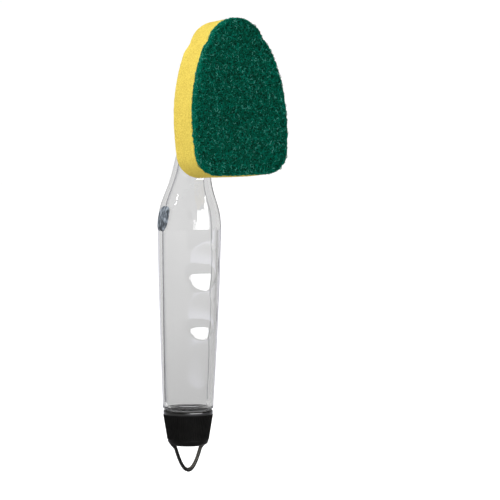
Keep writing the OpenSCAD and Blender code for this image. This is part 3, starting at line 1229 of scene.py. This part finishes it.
@dataclass
class Cap:
    """The screw cap: body, grip ribs, inner thread and hanging loop, with its gasket."""

    foot_z: float = 14.4
    top_z: float = 36.4
    rim_r: float = 15.35
    foot_r: float = 12.7
    band_z: float = 33.9
    bore_r: float = 12.75
    pocket_r: float = 11.0
    seat_z: float = 22.2
    floor_z: float = 16.4
    rib_count: int = 72
    rib_r: float = 0.3
    rib_low_z: float = 18.2
    rib_taper: Pair = (0.6, 0.1)
    rib_sink: float = 0.1
    skin_step: float = 0.16
    rim_round: Pair = (1.1, 1.0)
    gasket_t: float = 1.95
    gasket_r: float = 12.6
    gasket_hole_r: float = 10.2
    thread: Thread = field(default_factory=lambda: Thread(low=25.4, turns=1.75, height=0.6, half_width=0.8))
    strap_t: float = 2.5
    strap_d: float = 3.2
    loop_half_w: float = 9.8
    inner_rise: float = 0.21
    inner_half_w: float = 8.6
    outer_share: float = 0.93
    strap_round: Pair = (0.55, 1.2)
    # The inner side of the loop's bottom and right strand gets a paler finish: painted light on the faces
    # that catch the light. The next two values set how deep that band reaches and where it starts across.
    lit_side_depth: float = 0.6
    lit_side_from: float = -3.4
    corner: Pair = (3.1, 3.3)
    bore_rings: int = 44
    sides: int = 144

    def radius_at(self, z: float) -> float:
        """Radius of the ribbed skin at a height."""
        low = self.foot_z + self.corner[1]
        return mix(self.foot_r, self.rim_r, (z - low) / (self.band_z - low))

    def body(self) -> bpy.types.Object:
        """The cap's body, closed, with its bore, pocket and inner thread.

        Returns:
            The body.
        """
        top = self.top_z
        wide, high = self.corner
        profile = [(0.0, self.foot_z), (self.foot_r - wide - 1, self.foot_z)]
        profile += [(self.foot_r - wide * (1 - out), self.foot_z + high * up) for out, up in quarter_round(8)]
        groove = self.band_z - 0.15
        round_w, round_h = self.rim_round
        for i in range(1, 9):
            z = mix(self.foot_z + high, groove, i / 8)
            profile.append((self.radius_at(z) - self.skin_step, z))
        profile += [(self.rim_r - 0.3, groove + 0.05), (self.rim_r - 0.06, groove + 0.15),
                    (self.rim_r, groove + 0.3), (self.rim_r, top - round_h)]
        for up, back in quarter_round(6)[1:]:
            profile.append((self.rim_r - round_w * back, top - round_h + round_h * up))
        profile += [(self.bore_r + 0.35, top), (self.bore_r + 0.05, top - 0.3)]
        profile += [(self.bore_r, mix(top - 0.7, self.seat_z, i / self.bore_rings))
                    for i in range(self.bore_rings + 1)]
        profile += [(self.pocket_r, self.seat_z), (self.pocket_r, self.floor_z + 0.4),
                    (self.pocket_r - 0.4, self.floor_z), (0.0, self.floor_z)]

        def inside(radius: float, z: float, angle: float) -> float:
            """Inner thread, which narrows the bore."""
            return -self.thread.ridge(z, angle) if abs(radius - self.bore_r) < 1e-6 else 0.0

        return lathe("cap_body", profile, self.sides, bump=inside)

    def ribs(self, body: bpy.types.Object, black: bpy.types.Material) -> bpy.types.Object:
        """The grip ribs round the cap, as one piece.

        Args:
            body: The cap's body, which only carries the tree.
            black: Finish of the cap.

        Returns:
            The ribs.
        """
        high_z = self.band_z - 0.5
        sheet = GeometrySheet("cap_ribs", {
            "Count": self.rib_count,
            "Low Radius": (self.radius_at(self.rib_low_z) - self.rib_sink) * MM,
            "High Radius": (self.radius_at(high_z) - self.rib_sink) * MM,
            "Rib Radius": self.rib_r * MM,
        })
        low = sheet.add("ShaderNodeCombineXYZ", X=sheet.value("Low Radius"), Z=self.rib_low_z * MM)
        high = sheet.add("ShaderNodeCombineXYZ", X=sheet.value("High Radius"), Z=high_z * MM)
        line = sheet.add("GeometryNodeCurvePrimitiveLine", Start=low.outputs[0], End=high.outputs[0])
        fine = sheet.add("GeometryNodeResampleCurve", Curve=line.outputs[0], Count=9)
        along = sheet.add("GeometryNodeSplineParameter").outputs["Factor"]
        bow = sheet.worked("SINE", sheet.worked("MULTIPLY", along, math.pi))
        reach, end = self.rib_taper
        tapered = sheet.add("GeometryNodeSetCurveRadius", Curve=fine.outputs[0],
                            Radius=sheet.remap(bow, 0.0, reach, end))
        rib = sheet.tube(tapered.outputs[0], sheet.value("Rib Radius"), 8)
        places = sheet.add("GeometryNodePoints", Count=sheet.value("Count"))
        step = sheet.worked("DIVIDE", FULL_TURN, sheet.value("Count"))
        turn = sheet.worked("MULTIPLY", sheet.add("GeometryNodeInputIndex").outputs[0], step)
        round_z = sheet.add("FunctionNodeEulerToRotation",
                            Euler=sheet.add("ShaderNodeCombineXYZ", Z=turn).outputs[0])
        placed = sheet.add("GeometryNodeInstanceOnPoints", Points=places.outputs[0], Instance=rib,
                           Rotation=round_z.outputs[0])
        sheet.finish(placed.outputs[0], black)
        return sheet.grow("cap_ribs", body)

    def loop(self) -> bpy.types.Object:
        """The hanging loop: a strap between two parabolas that flares into the cap.

        Returns:
            The loop.
        """
        w, z, stations = self.loop_half_w, self.foot_z, 35
        outer = [(x, (z + self.strap_t) / w**2 * x * x - self.strap_t)
                 for x in np.linspace(0, self.outer_share * w, 40)]
        outer += [(w - 0.1, z - 1.9), (w + 0.35, z - 1.2), (w + 0.95, z - 0.6), (w + 1.5, z - 0.1),
                  (self.foot_r - 0.95, z + 0.5), (self.foot_r - 0.7, z + 0.9)]
        inner = [(x, self.inner_rise * x * x) for x in np.linspace(0, self.inner_half_w, 40)]
        right = list(zip(even_points(outer, stations), even_points(inner, stations)))
        pairs = [((-a[0], a[1]), (-b[0], b[1])) for a, b in reversed(right[1:])] + right
        edge = [(math.cos(math.pi / 2 * k / 4), math.sin(math.pi / 2 * k / 4)) for k in range(5)]
        points = []
        for (xo, zo), (xi, zi) in pairs:
            middle = Vector(((xo + xi) / 2, 0, (zo + zi) / 2))
            across = Vector(((xo - xi) / 2, 0, (zo - zi) / 2))
            half_t = across.length
            across.normalize()
            for su, sv in ((1, 1), (-1, 1), (-1, -1), (1, -1)):
                r = min(self.strap_round[su < 0], half_t * 0.96)
                for c, t in (edge if su * sv > 0 else reversed(edge)):
                    side = sv * (self.strap_d / 2 - r + r * t)
                    points.append(tuple(middle + across * su * (half_t - r + r * c) + Vector((0, side, 0))))
        columns = 4 * len(edge)
        faces = grid_faces(len(pairs), columns, closed=True)
        last = (len(pairs) - 1) * columns
        faces += [tuple(range(columns)), tuple(range(last, last + columns))]
        return mesh_object("cap_loop", points, faces, sharp_angle=50)

    def is_painted_lit_side(self, place: Vector) -> bool:
        """Whether a place in millimetres lies on the inner side of the loop's bottom and right strand, whose
        paler finish is painted light.
        """
        depth = (self.inner_rise * place.x**2 - place.z) / math.hypot(1, 2 * self.inner_rise * place.x)
        return depth < self.lit_side_depth and place.x > self.lit_side_from and place.z < self.foot_z - 0.2

    def gasket(self) -> bpy.types.Object:
        """The rubber ring that the cap presses against the neck finish.

        Returns:
            The gasket.
        """
        low, high = self.seat_z + 0.05, self.seat_z + self.gasket_t
        middle = (low + high) / 2
        r, hole, edge = self.gasket_r, self.gasket_hole_r, 0.35
        groove = (r + hole) / 2
        profile = [(hole, low + edge), (hole + edge, low), (r - edge, low), (r, low + edge), (r, high - edge),
                   (r - edge, high), (groove + 0.35, high), (groove, high - 0.25), (groove - 0.35, high),
                   (hole + edge, high), (hole, high - edge), (hole - 0.1, middle)]
        return lathe("gasket_ring", profile, 96)

    def build(self, black: bpy.types.Material, glossy: bpy.types.Material, wear_and_painted_light: bpy.types.Material,
              rubber: bpy.types.Material) -> None:
        """Builds and dresses the cap and its gasket.

        Args:
            black: Finish of the cap.
            glossy: Finish of its polished rim.
            wear_and_painted_light: Paler finish of the inner side of the loop's bottom and right strand:
                painted light on the faces that catch the light.
            rubber: Finish of the gasket.
        """
        body = self.body()
        dress(self.ribs(body, black), black, Body.CAP, "cap_plastic")
        loop = self.loop()
        dress(loop, black, Body.CAP, "cap_plastic")
        # Painted light: the inner faces of the loop's bottom and right strand take the paler finish.
        second_finish(loop, wear_and_painted_light, self.is_painted_lit_side)
        dress(body, black, Body.CAP, "cap_plastic", "end_cap")
        second_finish(body, glossy, lambda place: place.z > self.band_z - 0.02)
        dress(self.gasket(), rubber, Body.GASKET, "gasket_rubber", "cap_gasket")


# Head


@dataclass(frozen=True)
class HeadForm:
    """Outline and place of the scrubbing head."""

    width: float = 62.2
    length: float = 94.8
    tilt: float = 6.2
    forward: float = 41.5
    middle_z: float = 230.0
    low_side_r: float = 220.0
    high_side_r: float = 108.0
    wide_y: float = 32.5
    tip_r: float = 18.3
    corner_r: float = 14.5
    side_end: float = 0.0
    tip_start: float = math.radians(17)

    @property
    def place(self) -> Matrix:
        """Where the head's own axes lie in the row frame, in millimetres."""
        return (Matrix.Translation((0, -self.forward, self.middle_z))
                @ Matrix.Rotation(math.radians(90 - self.tilt), 4, "X")
                @ Matrix.Translation((0, -self.length / 2, 0)))

    def outline(self, inset: float, fine: int = 4) -> list[FlatPoint]:
        """Outline of the head, once round.

        Args:
            inset: Distance inside the foam's edge.
            fine: How many times finer than the plainest outline.

        Returns:
            The points, from the middle of the wide end up the right side and down the left.
        """
        half = self.width / 2 - inset
        corner, low, high = self.corner_r - inset, self.low_side_r - inset, self.high_side_r - inset
        rise = self.wide_y - self.corner_r
        corner_x = half - low + math.sqrt((low - corner) ** 2 - rise**2)
        low_a = -math.atan2(rise, corner_x - half + low)
        tip_y = self.length - self.tip_r
        high_a = math.asin((tip_y + self.side_end - self.wide_y) / high)
        right = [(corner_x * k / (3 * fine), inset) for k in range(3 * fine)]
        right += arc((corner_x, self.corner_r), corner, -math.pi / 2, low_a, 7 * fine)
        right += arc((half - low, self.wide_y), low, low_a, 0, 3 * fine)[1:]
        right += arc((half - high, self.wide_y), high, 0, high_a, 8 * fine)[1:]
        right += arc((0, tip_y), self.tip_r - inset, self.tip_start, math.pi / 2, 8 * fine)
        return right + [(-x, y) for x, y in reversed(right[1:-1])]

    def layers(self, name: str, layers: Sequence[Pair]) -> bpy.types.Object:
        """Closed solid with the head's outline.

        Args:
            name: Name of the piece.
            layers: Inset and depth of each layer.

        Returns:
            The solid.
        """
        rings = [[(x, y, depth) for x, y in self.outline(inset)] for inset, depth in layers]
        n = len(rings[0])
        points = [p for ring in rings for p in ring]
        points += [(0.0, self.length / 2, layers[0][1]), (0.0, self.length / 2, layers[-1][1])]
        faces = grid_faces(len(rings), n, closed=True)
        last, low, high = (len(rings) - 1) * n, len(points) - 2, len(points) - 1
        for j in range(n):
            faces += [(j, (j + 1) % n, low), (last + j, last + (j + 1) % n, high)]
        return mesh_object(name, points, faces, place=self.place)


@dataclass
class ScourFibres:
    """The pad's fibres: short bent strands scattered over its surface by Geometry Nodes."""

    SHADE = "shade"
    per_mm2: float = 4.2
    radius: float = 0.15
    length: float = 1.7
    seed: int = 7
    bows: tuple[float, ...] = (1.1, -1.5, 0.7, -0.9, 1.8)
    dips: tuple[float, ...] = (0.35, 0.2, 0.5, 0.3, 0.15)
    lean: float = 0.28
    sizes: Pair = (0.7, 1.25)
    # Fibres on the pad's rim, where the surface faces away from outwards, get a higher shade and so paler
    # colours: painted highlight along the rim.
    outwards: Point = (0.0, -0.994, 0.108)
    rim: Pair = (0.2, 0.9)
    rim_painted_highlight: float = 0.5

    def strand(self, sheet: GeometrySheet, kind: int) -> bpy.types.NodeSocket:
        """One kind of strand, as an instance.

        Args:
            sheet: The tree.
            kind: Which kind, which sets how it bends.

        Returns:
            The strand's geometry.
        """
        half = self.length / 2 * (0.75 + 0.12 * kind)
        bow = half * self.bows[kind]
        dip = self.dips[kind]
        curve = sheet.add("GeometryNodeCurvePrimitiveBezierSegment", {"mode": "OFFSET"}, Resolution=3,
                          Start=(-half * MM, 0, -dip * MM),
                          Start_Handle=(half * 0.3 * MM, bow * MM, dip * 2.2 * MM),
                          End_Handle=(-half * 0.3 * MM, bow * 0.8 * MM, dip * 1.6 * MM),
                          End=(half * MM, bow * 0.2 * MM, -dip * MM))
        tube = sheet.tube(curve.outputs[0], sheet.value("Radius"), 3)
        return sheet.add("GeometryNodeGeometryToInstance", Geometry=tube).outputs[0]

    def grow(self, name: str, mat: bpy.types.Object, finish: bpy.types.Material) -> bpy.types.Object:
        """Scatters the strands.

        Args:
            name: Name of the piece.
            mat: The mat whose surface they lie on.
            finish: Their finish.

        Returns:
            The fibres as one piece.
        """
        sheet = GeometrySheet(name, {"Density": self.per_mm2 / MM**2, "Radius": self.radius * MM,
                                     "Seed": self.seed})
        seed = sheet.value("Seed")
        points = sheet.add("GeometryNodeDistributePointsOnFaces", Mesh=sheet.given.outputs[0],
                           Density=sheet.value("Density"), Seed=seed)
        spin = sheet.random(0.0, FULL_TURN, seed)
        tip = sheet.random(-self.lean, self.lean, 11)
        lean = sheet.add("ShaderNodeCombineXYZ", X=tip, Y=tip, Z=spin)
        lean = sheet.add("FunctionNodeEulerToRotation", Euler=lean.outputs[0])
        turned = sheet.add("FunctionNodeRotateRotation", {"rotation_space": "LOCAL"},
                           Rotation=points.outputs["Rotation"], Rotate_By=lean.outputs[0])
        kinds = sheet.add("GeometryNodeJoinGeometry")
        for kind in reversed(range(len(self.bows))):
            sheet.tree.links.new(self.strand(sheet, kind), kinds.inputs[0])
        pick = sheet.add("FunctionNodeRandomValue", {"data_type": "INT"}, i4=0, i5=len(self.bows) - 1, Seed=3)
        placed = sheet.add("GeometryNodeInstanceOnPoints", Points=points.outputs[0],
                           Instance=kinds.outputs[0], Pick_Instance=True, Instance_Index=pick.outputs[2],
                           Rotation=turned.outputs[0], Scale=sheet.random(*self.sizes, 5))
        # Painted highlight: the shade of fibres on the rim is raised.
        facing = sheet.add("ShaderNodeVectorMath", {"operation": "DOT_PRODUCT"}, i0=points.outputs["Normal"],
                           i1=self.outwards).outputs["Value"]
        rim_painted_highlight = sheet.remap(facing, *self.rim, self.rim_painted_highlight, 0.0)
        tinted = sheet.add("GeometryNodeStoreNamedAttribute", {"data_type": "FLOAT", "domain": "INSTANCE"},
                           Geometry=placed.outputs[0], Name=self.SHADE, Value=sheet.random(rim_painted_highlight, 1.0, 9))
        sheet.finish(tinted.outputs[0], finish)
        return sheet.grow(name, mat)


@dataclass
class Head:
    """The scrubbing head: moulded base, foam and scouring pad."""

    form: HeadForm = field(default_factory=HeadForm)
    foam_t: float = 25.5
    pad_t: float = 6.2
    tray_inset: float = 5.6
    tray_t: float = 4.6
    belly_d: float = 14.0
    belly_corner: float = 5.0
    belly_rings: int = 12
    belly_swell: float = 0.82
    base_d: float = 19.5
    base_middle: FlatPoint = (0.0, 27.0)
    base_around: int = 160
    socket_w: float = 24.0
    socket_y: Pair = (8.0, 36.0)
    run_gap: float = 0.3
    stop_gap: float = 0.5
    socket_floor: float = -9.0
    open_end: float = -3.0
    foam_voxel: float = 0.62
    foam_wave: Pair = (16.0, 0.1)
    foam_cells: Pair = (1.3, 0.1)
    fine_cells: Pair = (0.7, 0.05)
    fine_shift: Point = (9.0, 3.0, 1.0)
    foam_sink: float = 0.12
    mat_voxel: float = 0.7
    mat_tufts: Pair = (1.5, 0.35)
    mat_wave: Pair = (4.0, 0.1)
    fibres: ScourFibres = field(default_factory=ScourFibres)

    def foam(self) -> bpy.types.Object:
        """The foam block, cut a little unevenly.

        Returns:
            The block.
        """
        block = self.form.layers("foam_cut", [(1.0, 0.02), (0.25, 0.5), (0.0, 1.6), (0.0, self.foam_t - 0.5),
                                              (0.15, self.foam_t)])
        block = remeshed(block, self.foam_voxel)

        def cut(place: Vector, _: Vector) -> float:
            """Height of the uneven cut and the open cells, at a place in millimetres."""
            cells = uneven(place, self.foam_cells) + uneven(place, self.fine_cells, self.fine_shift)
            return uneven(place, self.foam_wave) + cells - self.foam_sink

        pushed(block, cut)
        return block

    def mat(self) -> bpy.types.Object:
        """The pad's dense mat, with a frayed surface.

        Returns:
            The mat.
        """
        high = self.foam_t + self.pad_t
        block = self.form.layers("scour_mat", [(0.7, self.foam_t + 0.05), (0.5, self.foam_t + 0.9),
                                               (0.5, high - 1.6), (1.1, high - 0.8), (2.0, high - 0.5)])
        block = remeshed(block, self.mat_voxel)

        def fray(place: Vector, _: Vector) -> float:
            """Height of the tufts and pits of the tangled fibres, at a place in millimetres."""
            return uneven(place, self.mat_tufts) + uneven(place, self.mat_wave)

        pushed(block, fray)
        return block

    def base_ring(self, outline: Sequence[FlatPoint]) -> list[FlatPoint]:
        """Points of an outline at even angles round the base's middle, so that all its rings match.

        Args:
            outline: The outline's points.

        Returns:
            The ring.
        """
        x0, y0 = self.base_middle
        turned = sorted((math.atan2(y - y0, x - x0) % FULL_TURN, math.hypot(x - x0, y - y0))
                        for x, y in divided(outline))
        angles, reaches = zip(*turned)
        even = np.arange(self.base_around) * 2 * math.pi / self.base_around
        r = np.interp(even, angles, reaches, period=FULL_TURN)
        return [(x0 + reach * math.cos(turn), y0 + reach * math.sin(turn)) for reach, turn in zip(r, even)]

    def tray_ring(self, inset: float) -> list[FlatPoint]:
        """Ring of the tray, at a distance inside its edge."""
        return self.base_ring(self.form.outline(self.tray_inset + inset))

    def belly_ring(self, inset: float) -> list[FlatPoint]:
        """Ring of the belly's flat underside, an oblong with round corners.

        Args:
            inset: Distance inside its edge.

        Returns:
            The ring.
        """
        r = self.belly_corner - inset
        w = self.socket_w / 2 + 1 - inset
        y0, y1 = self.socket_y[0] - 0.5 + inset, self.socket_y[1] + 8 - inset
        corners = ((w - r, y0 + r, -90), (w - r, y1 - r, 0), (r - w, y1 - r, 90), (r - w, y0 + r, 180))
        ring = []
        for x, y, start in corners:
            ring += arc((x, y), r, math.radians(start), math.radians(start + 90), 12)
        return self.base_ring(divided(ring))

    def belly(self) -> bpy.types.Object:
        """The base's solid: a thin tray whose back swells out to the belly.

        Returns:
            The solid, without its socket.
        """
        tray = self.tray_t
        rings = [(self.tray_ring(0.3), -0.02), (self.tray_ring(0.0), -0.4), (self.tray_ring(0.0), 0.5 - tray),
                 (self.tray_ring(0.15), 0.15 - tray), (self.tray_ring(0.7), -0.15 - tray)]
        wide, under = self.tray_ring(0.9), self.belly_ring(0.0)
        for k in range(1, self.belly_rings):
            t = k / self.belly_rings
            depth = mix(-tray - 0.25, -self.belly_d + 0.5, mix(t, t**self.belly_swell, 0.7))
            rings.append(([(mix(a[0], b[0], t), mix(a[1], b[1], t)) for a, b in zip(wide, under)], depth))
        rings += [(self.belly_ring(0.1), -self.belly_d + 0.25), (self.belly_ring(0.5), -self.belly_d)]
        points = [(x, y, d) for ring, d in rings for x, y in ring]
        points += [(*self.base_middle, rings[0][1]), (*self.base_middle, rings[-1][1])]
        n = self.base_around
        faces = grid_faces(len(rings), n, closed=True)
        last = (len(rings) - 1) * n
        for j in range(n):
            faces += [(j, (j + 1) % n, len(points) - 2), (last + j, last + (j + 1) % n, len(points) - 1)]
        return mesh_object("base_moulding", points, faces, place=self.form.place)

    def base(self, handle: Handle) -> bpy.types.Object:
        """The moulded base: tray, belly and socket, cut for the tongue and the soap outlet.

        Args:
            handle: The handle, whose tongue the socket fits.

        Returns:
            The base.
        """
        place = self.form.place
        low, high = self.socket_y
        half = self.socket_w / 2
        socket = rounded_box("socket", (-half, low, -self.base_d), (half, high, self.socket_floor),
                             1.0, place)
        base = combined(self.belly(), socket, "UNION")
        front, back = handle.tongue_front, handle.tongue_front - handle.tongue_t
        end = handle.tongue_y[1] + self.stop_gap
        half = handle.tongue_w / 2 + self.run_gap
        channel = rounded_box("channel", (-half, self.open_end, back - self.run_gap),
                              (half, end, front + self.run_gap), 0.0, place)
        half = handle.web_w / 2 + self.run_gap
        slot = rounded_box("slot", (-half, self.open_end, -self.base_d - 2), (half, end - 0.1, back),
                           0.0, place)
        outlet = rod("outlet", handle.outlet_r, front - 0.5, 2, (0, handle.outlet_y), place)
        for cutter in (channel, slot, outlet):
            base = combined(base, cutter, "DIFFERENCE")
        tidy_mesh(base, 32)
        return base

    def build(self, handle: Handle, black: bpy.types.Material, foam: bpy.types.Material,
              mat: bpy.types.Material, fibre: bpy.types.Material) -> None:
        """Builds and dresses the head.

        Args:
            handle: The handle, whose tongue the socket fits.
            black: Finish of the base.
            foam: Finish of the foam.
            mat: Finish of the pad's mat.
            fibre: Finish of the pad's fibres.
        """
        dress(self.base(handle), black, Body.HEAD, "base_plastic", "head_base")
        block = self.foam()
        dress(block, foam, Body.HEAD, "yellow_foam", "foam_block")
        pad = self.mat()
        strands = self.fibres.grow("scour_fibres", pad, fibre)
        dress(pad, mat, Body.HEAD, "green_fibre", "scour_pad")
        dress(strands, fibre, Body.HEAD, "green_fibre")


# Studio


@dataclass(frozen=True)
class Softbox:
    """A soft rectangular lamp, in metres. It may only light diffuse surfaces, or only show in glossy ones."""

    name: str
    place: Point
    aim: Point
    size: Pair
    radiance: float
    seen_by: tuple[bool, bool] = (True, True)

    def build(self) -> None:
        """Adds the lamp, at a level given as the radiance of its face."""
        lamp = bpy.data.lights.new(self.name, "AREA")
        lamp.shape = "RECTANGLE"
        lamp.size, lamp.size_y = self.size
        lamp.energy = self.radiance * math.pi * self.size[0] * self.size[1]
        obj = bpy.data.objects.new(self.name, lamp)
        obj.location = self.place
        obj.rotation_euler = (Vector(self.aim) - Vector(self.place)).to_track_quat("-Z", "Y").to_euler()
        obj.visible_camera = False
        obj.visible_transmission = False
        obj.visible_diffuse, obj.visible_glossy = self.seen_by
        bpy.context.scene.collection.objects.link(obj)


@dataclass
class Studio:
    """Camera, floor, world and lamps. Sizes are in metres, in the row frame."""

    camera_turn: float = math.radians(26.0)
    camera_distance: float = 2.4
    camera_height: float = 0.329
    aim_height: float = 0.1355
    side_step: float = math.radians(0.916)
    lens_pixels: float = 3896.0
    image_pixels: float = 500.0
    sensor: float = 36.0
    floor_z: float = -0.021
    floor_x: float = 1.6
    floor_y: Pair = (-0.52, 2.87)
    floor_white: float = 0.97
    floor_sheen: tuple[Pair, ...] = ((-0.375, 2.6), (-0.235, 0.1), (0.1, 0.1), (0.4, 0.5))
    floor_clear: tuple[Pair, ...] = ((0.43, 0.145), (1.07, 0.39), (2.02, 0.6), (2.86, 0.6))
    sheen_x: Pair = (-0.28, -0.12)
    sheen_tint: Point = (0.8, 0.8, 1.0)
    backdrop: float = 1.02
    fill: float = 0.3
    glossy_room: Pair = (0.06, 0.36)
    clear_room: Pair = (0.62, 0.81)
    room_turn: Pair = (-0.25, 0.4)
    lamps: tuple[Softbox, ...] = (
        Softbox("front_panel", (0.55, -2.0, 0.63), (0.55, 0.0, 0.63), (2.6, 1.24), 13.0, (False, True)),
        Softbox("low_panel", (-1.2, -2.0, 0.18), (-1.2, 0.0, 0.18), (0.9, 0.34), 13.0, (False, True)),
        Softbox("front_fill", (0.22, -2.0, 0.5), (0.22, 0.0, 0.5), (3.8, 0.98), 5.8, (True, False)),
        Softbox("left_fill", (-1.3, -0.1, 1.3), (0.0, 0.0, 0.2), (1.2, 1.2), 3.7, (True, False)),
        Softbox("left_strip", (-1.25, 0.659, 0.684), (0.0, 0.0, 0.165), (0.12, 0.06), 45.0, (False, True)),
        Softbox("top_softbox", (-0.2, -0.2, 1.7), (0.0, 0.0, 0.15), (1.0, 1.0), 2.0),
    )

    def camera(self) -> None:
        """Adds the camera at the photograph's view."""
        turn, height = self.camera_turn, self.camera_height
        away = self.camera_distance
        place = Vector((-away * math.sin(turn), -away * math.cos(turn), height))
        pitch = math.atan2(height - self.aim_height, away)
        heading = turn + self.side_step
        level = math.cos(pitch)
        ahead = Vector((math.sin(heading) * level, math.cos(heading) * level, -math.sin(pitch)))
        data = bpy.data.cameras.new("camera")
        data.sensor_width = self.sensor
        data.lens = self.lens_pixels / self.image_pixels * self.sensor
        data.clip_end = 50.0
        obj = bpy.data.objects.new("camera", data)
        obj.location = place
        obj.rotation_euler = ahead.to_track_quat("-Z", "Y").to_euler()
        bpy.context.scene.collection.objects.link(obj)
        bpy.context.scene.camera = obj

    def floor(self) -> None:
        """Adds the pale floor: white to the camera, and dimmer near the object to rays off and through it."""
        x, (y0, y1), z = self.floor_x, self.floor_y, self.floor_z
        mesh = bpy.data.meshes.new("floor")
        mesh.from_pydata([(-x, y0, z), (x, y0, z), (x, y1, z), (-x, y1, z)], [], [(0, 1, 2, 3)])
        obj = bpy.data.objects.new("floor", mesh)
        bpy.context.scene.collection.objects.link(obj)
        sheet = FinishSheet("floor_paper")
        sheet.shade(Base_Color=(0.5, 0.5, 0.5, 1.0), Roughness=0.9)
        path = sheet.add("ShaderNodeLightPath")
        along = sheet.add("ShaderNodeSeparateXYZ", i0=sheet.place).outputs
        sheen = sheet.worked("MULTIPLY", sheet.levels(along["Y"], self.floor_sheen),
                             sheet.remap(along["X"], *self.sheen_x))
        clear = sheet.levels(along["Y"], self.floor_clear)
        level: Value = 0.0
        for kind, glow in (("Glossy", sheen), ("Transmission", clear), ("Camera", self.floor_white)):
            level = sheet.blend(path.outputs[f"Is {kind} Ray"], level, glow)
        glossy, bent = path.outputs["Is Glossy Ray"], path.outputs["Is Transmission Ray"]
        mirrored = sheet.worked("SUBTRACT", glossy, bent)
        tint = sheet.ramp(mirrored, [(0.0, (1.0, 1.0, 1.0)), (1.0, self.sheen_tint)])
        light = sheet.add("ShaderNodeEmission", Color=tint, Strength=level)
        both = sheet.add("ShaderNodeAddShader", i0=sheet.shader.outputs[0], i1=light.outputs[0])
        out = next(n for n in sheet.tree.nodes if n.type == "OUTPUT_MATERIAL")
        sheet.tree.links.new(both.outputs[0], out.inputs[0])
        mesh.materials.append(sheet.material)

    def world(self) -> None:
        """Sets a white backdrop and a soft fill. Rays off and through the object see a dim room in front."""
        world = bpy.data.worlds.new("studio")
        bpy.context.scene.world = world
        world.use_nodes = True
        sheet = NodeSheet(world.node_tree)
        shader = next(n for n in sheet.tree.nodes if n.type == "BACKGROUND")
        path = sheet.add("ShaderNodeLightPath")
        ahead = sheet.add("ShaderNodeSeparateXYZ", i0=sheet.add("ShaderNodeTexCoord").outputs["Generated"])
        level: Value = self.fill
        rooms = {"Glossy": self.glossy_room, "Transmission": self.clear_room,
                 "Camera": (self.backdrop, self.backdrop)}
        for kind, ends in rooms.items():
            room = sheet.remap(ahead.outputs["Y"], *self.room_turn, *ends)
            level = sheet.blend(path.outputs[f"Is {kind} Ray"], level, room)
        sheet.feed(shader, "Color", (1.0, 1.0, 1.0, 1.0))
        sheet.feed(shader, "Strength", level)

    def build(self) -> None:
        """Sets up the studio."""
        self.floor()
        self.world()
        for lamp in self.lamps:
            lamp.build()
        bpy.context.scene.view_settings.view_transform = "Standard"


def main() -> None:
    """Builds the wand and its studio."""
    logging.basicConfig(level=logging.INFO, format="%(message)s")
    studio = Studio()
    studio.camera()
    head = Head()
    handle = Handle(head_place=head.form.place)
    handle.build(ClearPlastic("clear_plastic").make(),
                 ClearPlastic("weld_seam", (0.62, 0.62, 0.65), index=1.03, roughness=0.25).make(),
                 GripRubber().make(), Rubber("valve_silicone", (0.6, 0.6, 0.58), 0.4).make())
    Cap().build(BlackPlastic("cap_black", (0.0033, 0.0031, 0.0028), 0.35, gloss=0.07).make(),
                BlackPlastic("cap_gloss", (0.006, 0.0057, 0.005), 0.16, gloss=0.5).make(),
                # Paler finish on the loop's inner side: painted light.
                BlackPlastic("cap_painted_light", (0.1, 0.092, 0.077), 0.4).make(),
                Rubber("gasket_rubber", (0.04, 0.04, 0.045), 0.6).make())
    head.build(handle, BlackPlastic("base_black", roughness=0.12, grain=0.004).make(), Foam().make(),
               ScourMat().make(), ScourFibre().make())
    studio.build()


if __name__ == "__main__":
    main()
